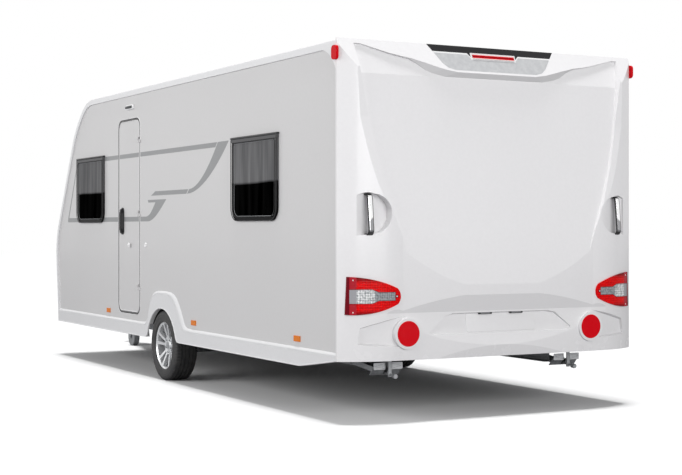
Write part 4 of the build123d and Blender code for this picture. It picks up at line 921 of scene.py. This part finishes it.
# %% [markdown]
# ## Small things on the rear
#
# Between the bumper and the shield lies the recess for the number plate: a slightly raised bed, left bare
# here, and two lamps in dark slots above it. The recess slopes, so the bed is laid on a line between two
# measured points of its floor, a few millimetres out.

# %% Plate bed and plate lamps
rear_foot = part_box("rear_panel")[0].z
lip = rear_foot + 0.313
bed_foot, bed_head = rear_foot + 0.172, lip - 0.014


def recess_floor(height):
    """Where the floor of the recess is along the vehicle, at a height."""
    return rear_line - 0.116 - (lip - height) * (0.030 / 0.157)


bed_corners = rounded((-0.29, bed_foot), (0.29, bed_head), 0.012, 4)
bed = [(recess_floor(z) + 0.001, y, z) for y, z in bed_corners]
plate("plate_bed", bed, (-0.0045, 0, 0.0008), gelcoat, bevel=0.0015)
lamp_z = lip - 0.013
lamp_offset = 0.13


def slot(middle, half_width, below, above, depth, corner, steps):
    """The outline of a slot at a plate lamp, whose middle is given across the vehicle."""
    low = (middle - half_width, lamp_z - below)
    high = (middle + half_width, lamp_z + above)
    return [(recess_floor(lamp_z) - depth, y, z) for y, z in rounded(low, high, corner, steps)]


for side, word in sides:
    ring = slot(side * lamp_offset, 0.056, 0.009, 0.009, 0.002, 0.006, 4)
    glass = slot(side * lamp_offset, 0.040, 0.005, 0.001, 0.0155, 0.0028, 3)
    plate(f"plate_lamp_{word}", ring, (-0.014, 0, 0), black_plastic, bevel=0.002)
    plate(f"plate_lamp_lens_{word}", glass, (-0.0018, 0, 0), grey_plastic, bevel=0.0006)
print("plate bed from", round(bed_foot, 3), "to", round(bed_head, 3), "m high")

# %% [markdown]
# ## Skirt and spat in one moulding
#
# The skirt along the foot of the wall and the spat round the wheel are one white moulding with a rolled
# upper edge, a thin shadow line and a small lip at its lower edge. It runs level, climbs over the wheel as a
# flare that is wide behind the wheel, and rises at the rear to meet the bumper. It is drawn as a ladder:
# each rung joins a point of the upper outline to a point of the lower one, and carries the same section.

# %% The moulding along both sides
arch_middle, arch_height, arch_reach = 3.166, 0.270, 0.347
wall_foot, skirt_foot = 0.478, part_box("side_skirts")[0].z
skirt_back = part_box("side_skirts")[1].y - 0.039


def arch(degrees):
    angle = math.radians(degrees)
    return arch_middle - arch_reach * math.cos(angle), arch_height + arch_reach * math.sin(angle)


# A rung is the station and height above, the same below, the rolled edge's width and the back's depth.
def straight(*spots):
    """Rungs of the level stretches, from rows of a station and the height below."""
    return [((station, wall_foot), (station, foot), 0.022, skirt_back) for station, foot in spots]


def round_arch(*rows):
    """Rungs over the wheel, from rows of station, height above, angle on the arch and rolled edge."""
    return [((station, height), arch(angle), roll, skin) for station, height, angle, roll in rows]


skirt_lift = skirt_foot + 0.004
rungs = straight((0.0, 0.421), (0.060, 0.412), (0.290, 0.380), (0.505, skirt_lift))
rungs += straight((0.540, skirt_foot), (1.500, skirt_foot))
rungs += [
    ((2.480, wall_foot), (2.480, skirt_foot), 0.024, skirt_back),
    ((2.590, 0.482), (2.700, skirt_foot), 0.034, skirt_back),
    ((2.632, 0.494), (2.768, skirt_foot), 0.046, skirt_back),
    ((2.654, 0.512), (2.805, skirt_lift), 0.052, skirt_back),
]
rungs += round_arch(
    (2.672, 0.535, 18, 0.056), (2.690, 0.562, 24, 0.058), (2.731, 0.618, 36, 0.060),
    (2.775, 0.670, 47, 0.058), (2.825, 0.715, 57, 0.052), (2.880, 0.746, 66, 0.044),
    (2.950, 0.763, 75, 0.032), (3.040, 0.768, 84, 0.024), (3.140, 0.768, 92, 0.022),
    (3.240, 0.767, 100, 0.022), (3.310, 0.758, 108, 0.023), (3.365, 0.738, 117, 0.024),
    (3.405, 0.705, 126, 0.025), (3.435, 0.660, 135, 0.026), (3.458, 0.600, 145, 0.026),
    (3.482, 0.540, 155, 0.026), (3.515, 0.500, 163, 0.025),
)
rungs += [
    ((3.560, 0.482), (3.530, skirt_lift), 0.024, skirt_back),
    ((3.640, wall_foot), (3.620, skirt_foot), 0.022, skirt_back),
]
rungs += straight((4.800, skirt_foot), (6.083, skirt_foot))
outer_face = skin + 0.0125


def rung_section(above, below, roll, back):
    """The closed section of one rung: pairs of a place on the wall and a distance from the middle line."""
    top, foot = Vector(above), Vector(below)
    run = (foot - top).normalized()
    reach = (foot - top).length
    # how far along the rung and how far below the outer face: the rolled edge, the shadow line, the lip
    steps = [(0.25 * roll, 0.0055), (0.62 * roll, 0.0012), (roll, 0.0), (roll + 0.0015, 0.0005)]
    steps += [(roll + 0.003, 0.0032), (roll + 0.0055, 0.0032), (roll + 0.007, 0.0012)]
    steps += [(reach - 0.0085, 0.0040), (reach - 0.0055, 0.0008), (reach - 0.0015, 0.0012), (reach, 0.0035)]
    section = [(top, skin + 0.0004)] + [(top + run * along, outer_face - dip) for along, dip in steps]
    shelf = top if back > skin - 0.001 else Vector((above[0], wall_foot - 0.014))
    return section + [(foot, back), (shelf, back)]


moulding = bmesh.new()
for side, _ in sides:
    rings = []
    for above, below, roll, back in rungs:
        places = rung_section(above, below, roll, back)
        rings.append([moulding.verts.new((rear_line + spot.x, side * y, spot.y)) for spot, y in places])
    lace(moulding, rings, ends=True)
side_moulding = from_bmesh("side_moulding", moulding, skirt_paint, "caravan", 32)
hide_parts("side_skirts", "wheel_spats")
print("moulding with", len(rungs), "rungs a side")

# %% [markdown]
# ## Window edges
#
# The side windows are single panes with a dark border. Their outer edge is a rubber line, square at the head
# and well rounded at the foot. A second line lies where the border ends, and a rail with a drip edge covers
# the head.

# %% Lines and head rails of the side windows
def window_line(low, high, margin, head_round, depth):
    """The outline of a side window, moved inwards by a margin."""
    foot, head = (max(corner - margin, 0.004) for corner in (0.105, head_round))
    ends = (low.x + margin, low.z + margin), (high.x - margin, high.z - margin)
    return [(x, depth, z) for x, z in rounded(*ends, foot, 7, head)]


# name, margin, round of the upper corners, depth under the face, radius of the bead, finish
window_lines = [
    ("outer_line", 0.003, 0.014, 0.001, 0.0032, seal_rubber),
    ("inner_line", 0.031, 0.055, 0.0005, 0.0028, seal_rubber),
    # the glint is a pale bead laid as a painted highlight along the border's inner edge
    ("glint", 0.037, 0.055, 0.0135, 0.0018, grey_plastic),
]
rail = [(0.0, 0.0), (0.0, 0.012), (0.018, 0.012), (0.0255, 0.004), (0.0255, 0.0)]
side_windows = [
    (low, high) for low, high in solids("window_frames") if low.y * high.y > 0 and high.x - low.x > 0.5
]
for number, (low, high) in enumerate(side_windows, 1):
    side = 1 if low.y > 0 else -1
    face = max(abs(low.y), abs(high.y))
    for label, margin, head_round, depth, radius, finish in window_lines:
        line = window_line(low, high, margin, head_round, side * (face - depth))
        bead(f"window_{number}_{label}", line, radius, finish)
    outline = [(low.x - 0.006, side * (skin + out), high.z + up) for out, up in rail]
    plate(f"window_{number}_head_rail", outline, (high.x - low.x + 0.012, 0, 0), black_plastic, bevel=0.001)
print("side windows with lines:", len(side_windows))

# %% [markdown]
# ## Grab bars
#
# The bars at the rear corners are flat and nearly straight: a black body with a bright face let into it, on
# two feet. They lean outwards towards the lower end. The two at the front corners are alike and shorter.

# %% Bars with a bright face
def bar_section(width, depth):
    """A rectangle with round corners, thick to one side of the path, as (outwards, sideways) pairs."""
    return rounded((0.0, -width / 2), (depth, width / 2), depth * 0.35, 3)


for number, (low, high) in enumerate(solids("grab_handles"), 1):
    middle = (low.y + high.y) / 2
    if low.x < 0:
        path = [(-3.678, 1.527), (-3.700, 1.5255), (-3.711, 1.520), (-3.7165, 1.505), (-3.722, 1.460)]
        path += [(-3.728, 1.400), (-3.733, 1.345), (-3.737, 1.300), (-3.736, 1.282)]
        path += [(-3.726, 1.272), (-3.678, 1.269)]
        width = 0.042
    else:
        # the lower bend, from the wall to the grip, and then the upper one, mirrored
        bend = [(low.x + 0.002, 0.004), (high.x - 0.034, 0.004)]
        bend += [(high.x - 0.018, 0.018), (high.x - 0.013, 0.060)]
        path = [(x, low.z + inset) for x, inset in bend]
        path += [(x, high.z - inset) for x, inset in reversed(bend)]
        width = 0.024
    grab_bar = swept(f"grab_bar_{number}", path, bar_section(width, 0.012), middle, black_plastic)
    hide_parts("grab_handles")
    strip = [(lift + 0.0115, sideways) for lift, sideways in bar_section(width - 0.014, 0.002)]
    swept(f"grab_bar_face_{number}", path[2:-2], strip, middle, bar_face)
print("grab bars:", len(solids("grab_handles")))

# %% [markdown]
# ## Small fittings on the walls
#
# The awning lamp is a white housing with a smoked lens. Two round locks close the service hatch.

# %% Awning lamp and locks
lamp_low, lamp_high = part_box("awning_lamp")
lamp_middle = ((lamp_low.x + lamp_high.x) / 2 - 0.055, 2.404)


def lamp_line(half_width, half_height, corner, out):
    low = (lamp_middle[0] - half_width, lamp_middle[1] - half_height)
    high = (lamp_middle[0] + half_width, lamp_middle[1] + half_height)
    return [(x, skin + out, z) for x, z in rounded(low, high, corner)]


housing_line = lamp_line(0.098, 0.021, 0.019, 0.0)
housing = plate("awning_lamp_housing", housing_line, (0, 0.020, 0), white_plastic, bevel=0.006)
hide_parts("awning_lamp")
lens_line = lamp_line(0.084, 0.0125, 0.0115, 0.0190)
plate("awning_lamp_lens", lens_line, (0, 0.0055, 0), smoked_lens, bevel=0.0025)
lock_section = [(0.0, 0.004), (0.0075, 0.0038), (0.0085, 0.0050), (0.0125, 0.0046), (0.014, 0.0)]
hatch_low, hatch_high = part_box("service_hatch")
for number, height in enumerate((hatch_high.z - 0.080, hatch_low.z + 0.080), 1):
    spot = (hatch_high.x - 0.035, -skin, height)
    lathed(f"hatch_lock_{number}", lock_section, spot, (0, -1, 0), chrome, "service_hatch", 28)
print("locks:", number)

# %% [markdown]
# ## Fittings at the rear
#
# The tail lamps are held by three screws each, and the tip carries a small round reflector. The folded
# corner steadies end in a foot whose upright plate has a pressed triangle on each side of the spindle.

# %% Screws, tip reflectors and steady feet
lamp_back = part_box("tail_lamps")[0].x
screw_section = [(0.0, 0.0012), (0.0012, 0.0024), (0.0036, 0.0022), (0.0048, 0.0012), (0.005, 0.0)]
tip_section = [(0.0, 0.0030), (0.006, 0.0026), (0.0105, 0.0014), (0.012, 0.0)]
foot_low, foot_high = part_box("steady_leg_rear_left")
backwards = (-1, 0, 0)
reflector_rise = Vector((0.0025, 0, 0))
foot_face = foot_low.x - 0.001
foot_middle = foot_low.z + 0.065
for side, word in sides:
    tip = Vector((lamp_back + 0.0005, side * 0.854, tail_lamp_middle))
    for label, height in (("upper", 0.962), ("lower", 0.748)):
        spot = (-3.6885, side * 1.150, height)
        lathed(f"lamp_screw_{word}_{label}", screw_section, spot, backwards, zinc_plate, steps=16)
    lathed(f"tip_reflector_{word}", tip_section, tip, backwards, deep_red_lens, steps=24)
    lathed(f"tip_screw_{word}", screw_section, tip - reflector_rise, backwards, zinc_plate, steps=16)
    for half, inner, outer in (("inboard", foot_low.y, 0.738), ("outboard", foot_high.y, 0.786)):
        name = f"steady_foot_{word}_{half}"
        body = f"steady_leg_rear_{word}"
        low, high = sorted((inner, outer))
        corners = rounded((low, foot_middle - 0.024), (high, foot_middle + 0.024), 0.005, 3)
        outline = [(foot_face, side * y, z) for y, z in corners]
        plate(name, outline, (-0.003, 0, 0), zinc_plate, body, 0.0008)
        tip_y, base_y = inner + (outer - inner) * 0.10, outer - (outer - inner) * 0.06
        pressed = [(tip_y, 0.0), (base_y, 0.017), (base_y, -0.017)]
        line = [(foot_face - 0.003, side * y, foot_middle + rise) for y, rise in pressed]
        bead(f"{name}_press", line, 0.0022, iron, body)
print("rear fittings in place, feet at", round(foot_low.x, 3))

# %% [markdown]
# ## Curtains
#
# A curtain is one thin sheet, gathered on a rail. Its folds are a wave across its width whose depth grows
# towards the hem, where nothing holds it. The cloth was cut wider than it hangs, by as much as the wave is
# longer than a straight line, and that length is added up here and printed.

# %% Gathered curtains behind the side windows
cloth_gap = 0.004
columns, rows = 56, 18
folds = 5
head_swing = 0.62
for number, (low, high) in enumerate(solids("curtains"), 1):
    side = 1 if low.y > 0 else -1
    middle = (low.y + high.y) / 2
    depth = (high.y - low.y) / 2 - cloth_gap
    work = bmesh.new()
    grid = []
    lengths = []
    for row in range(rows + 1):
        drop = row / rows
        swing = depth * (head_swing + (1 - head_swing) * drop)
        line = []
        for column in range(columns + 1):
            part = column / columns
            phase = 2 * math.pi * folds * part + 0.5 * math.sin(6.0 * part + number)
            phase += 0.25 * drop * math.sin(4.0 * part)
            x = low.x + (high.x - low.x) * (0.02 + 0.96 * part)
            y = middle + swing * math.sin(phase)
            line.append(Vector((x, y, high.z - (high.z - low.z) * drop)))
        lengths.append(sum((b - a).length for a, b in zip(line, line[1:])))
        grid.append([work.verts.new(point) for point in line])
    lace(work, grid, round_section=False)
    curtain = from_bmesh(f"curtain_{number}", work, curtain_cloth, "caravan", 60)
    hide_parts("curtains")
    cut = sum(lengths) / len(lengths)
print("curtains:", number, "cut", round(cut, 3), "m wide for", round(high.x - low.x, 3), "m")

# %% [markdown]
# ## Cushions on the benches
#
# A cushion is foam in a cover that is a little too small for it: the top is crowned and the long sides are
# drawn in between the corners. Blender's cloth does this when a closed shape is blown up from inside. The
# start is a rounded block, smaller than the space it may fill. It is remeshed to even cells, the cloth runs
# for twenty frames, and no point may move further than the cap. The underside lies on the board and stays
# flat. The piping is laid afterwards, along the points where rays from outside meet the finished cover.

# %% Blow up a cushion and sew its piping
cap = 0.014
cell = 0.015
pressure = 4.0
cloth_frames = 20


def block(low, high, corner):
    work = bmesh.new()
    bmesh.ops.create_cube(work, size=1.0)
    for vertex in work.verts:
        vertex.co = [(a + b) / 2 + (b - a) * c for a, b, c in zip(low, high, vertex.co)]
    bmesh.ops.bevel(work, geom=list(work.edges), offset=corner, segments=4, affect="EDGES", profile=0.5)
    data = bpy.data.meshes.new("block")
    work.to_mesh(data)
    work.free()
    return data


def evaluated(thing):
    return bpy.data.meshes.new_from_object(thing.evaluated_get(bpy.context.evaluated_depsgraph_get()))


def blown_up(data):
    """Runs the cloth on a copy of the mesh and gives the mesh back with each move capped."""
    thing = bpy.data.objects.new("cloth_run", data)
    bpy.context.scene.collection.objects.link(thing)
    remesh = thing.modifiers.new("cells", "REMESH")
    remesh.mode = "VOXEL"
    remesh.voxel_size = cell
    even = evaluated(thing)
    thing.modifiers.clear()
    thing.data = even
    start = [vertex.co.copy() for vertex in even.vertices]
    cloth = thing.modifiers.new("cloth", "CLOTH")
    cloth.settings.use_pressure = True
    cloth.settings.uniform_pressure_force = pressure
    cloth.settings.effector_weights.gravity = 0.0
    cloth.point_cache.frame_start, cloth.point_cache.frame_end = 1, cloth_frames
    for frame_number in range(1, cloth_frames + 1):
        bpy.context.scene.frame_set(frame_number)
    swollen = evaluated(thing)
    thing.modifiers.clear()
    for vertex, home, moved in zip(even.vertices, start, swollen.vertices):
        step = moved.co - home
        if step.length > cap:
            step *= cap / step.length
        vertex.co = home + step
    bpy.context.scene.frame_set(1)
    bpy.data.objects.remove(thing)
    return even


for number, (low, high) in enumerate(solids("seat_cushions"), 1):
    inner_low = low + Vector((cap, cap, 0.001))
    inner_high = high - Vector((cap, cap, cap))
    cover = blown_up(block(inner_low, inner_high, 0.028))
    for vertex in cover.vertices:
        vertex.co.z = max(vertex.co.z, low.z + 0.001)
    cover.shade_smooth()
    cushion = settle(f"seat_cushion_{number}", cover, seat_cloth, "caravan")
    smoother = cushion.modifiers.new("smoother", "SUBSURF")
    smoother.levels = smoother.render_levels = 1
    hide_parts("seat_cushions")
    for label, height in (("upper", high.z - 0.034), ("lower", low.z + 0.026)):
        middle = Vector(((low.x + high.x) / 2, (low.y + high.y) / 2, height))
        line = []
        for x, y in rounded((low.x, low.y), (high.x, high.y), 0.06):
            start = Vector((x, y, height)).lerp(middle, -0.2)
            found, place, _, _ = cushion.ray_cast(start, (middle - start).normalized())
            if found:
                line.append(tuple(place))
        bead(f"seat_piping_{number}_{label}", line, 0.0035, piping)
print("cushions:", number, "with", len(cover.vertices), "points each before smoothing")

# %% [markdown]
# ## Floor, sky and lamps
#
# A product picture on white wants two things that pull apart: a background that is pure white, and paint
# that isn't washed out. Turning the lamps up would give the first and lose the second. So the lamps light
# the vehicle plainly, and the white comes from the world itself: rays from the camera, and those that a
# mirror or a pane sends on, find a white sky, while all others find the softer one that does the lighting.
# The floor stays an ordinary surface, because it has to carry the shadow under the vehicle. It is white to
# the camera and a mid grey to all other rays: a white floor would throw so much light back up that the
# undersides, which give the moulded rear its shape, came out as bright as the rest.

# %% The sky
world = bpy.data.worlds.new("studio")
world.use_nodes = True
bpy.context.scene.world = world
sky = world.node_tree
sky.nodes.clear()


def sky_node(kind, **sockets):
    node = sky.nodes.new(kind)
    for name, value in sockets.items():
        join(sky, value, node.inputs[name])
    return node


paths = sky_node("ShaderNodeLightPath")
seen = [Wire(sky, paths.outputs[name]) for name in ("Is Camera Ray", "Is Glossy Ray", "Is Transmission Ray")]
any_seen = seen[0].sum("MAXIMUM", seen[0], seen[1].sum("MAXIMUM", seen[1], seen[2]))
lighting = sky_node("ShaderNodeBackground", Color=(0.97, 0.98, 1.0, 1.0), Strength=0.20)
backdrop = sky_node("ShaderNodeBackground", Color=(1.0, 1.0, 1.0, 1.0), Strength=1.0)
either = sky_node("ShaderNodeMixShader")
join(sky, any_seen, either.inputs[0])
sky.links.new(lighting.outputs[0], either.inputs[1])
sky.links.new(backdrop.outputs[0], either.inputs[2])
sky.links.new(either.outputs[0], sky_node("ShaderNodeOutputWorld").inputs[0])

# %% [markdown]
# In the photograph the shadow lies exactly under the body, dark and with a fairly clear edge, so the main
# light comes from straight above. A sun lamp does that evenly over the whole floor, near and far, which a
# lamp with a place could not. Straight light from above leaves the upright walls dark, so two large area
# lamps, one on the left and one behind, fill them in. Their power follows from the distance: a wall gets
# power / (pi * distance squared), and pi times the wanted brightness is what it needs.


# %% The lamps
def lamp(name, kind, place, target, energy):
    data = bpy.data.lights.new(name, kind)
    data.energy = energy
    thing = bpy.data.objects.new(name, data)
    thing.location = place
    thing.rotation_mode = "QUATERNION"
    thing.rotation_quaternion = (Vector(target) - Vector(place)).to_track_quat("-Z", "Y")
    bpy.context.scene.collection.objects.link(thing)
    return data


def fill(name, place, target, width, height, brightness):
    distance = (Vector(target) - Vector(place)).length
    panel = lamp(name, "AREA", place, target, brightness * math.pi**2 * distance**2)
    panel.shape = "RECTANGLE"
    panel.size = width
    panel.size_y = height
    return panel


sun_brightness = 0.812
overhead = lamp("overhead_sun", "SUN", (0.0, 0.0, 9.0), (0.0, 0.0, 0.0), math.pi * sun_brightness)
overhead.angle = math.radians(15)
fill("left_fill", (-1.5, 13.0, 5.0), (-0.5, 1.2, 1.0), 12.0, 6.0, 0.62)
fill("rear_fill", (-15.0, 1.0, 4.0), (-3.7, 0.0, 1.2), 8.0, 6.0, 0.56)

# %% The floor
floor_reach = 60.0
sheet = bmesh.new()
bmesh.ops.create_grid(sheet, x_segments=1, y_segments=1, size=floor_reach)
floor_mesh = bpy.data.meshes.new("studio_floor")
sheet.to_mesh(floor_mesh)
sheet.free()
floor = bpy.data.objects.new("studio_floor", floor_mesh)
bpy.context.scene.collection.objects.link(floor)
floor_finish = Finish("floor_paper", Roughness=0.9, Specular_IOR_Level=0.0)
floor_grain = floor_finish.noise(1.5).ramp(0.3, 0.7)
floor_seen = floor_finish.add("ShaderNodeLightPath", out="Is Camera Ray")
floor_white = floor_finish.blend(floor_grain, (0.99, 0.99, 0.99, 1), (1.0, 1.0, 1.0, 1))
floor_finish.put(Base_Color=floor_finish.blend(floor_seen, (0.34, 0.34, 0.35, 1), floor_white))
floor_mesh.materials.append(floor_finish.material)
floor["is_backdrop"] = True

# %% The boxes of the solids and of the dressed scene
dressed_low, dressed_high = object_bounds()
[list(v) for v in (solid_low, solid_high, dressed_low, dressed_high)]
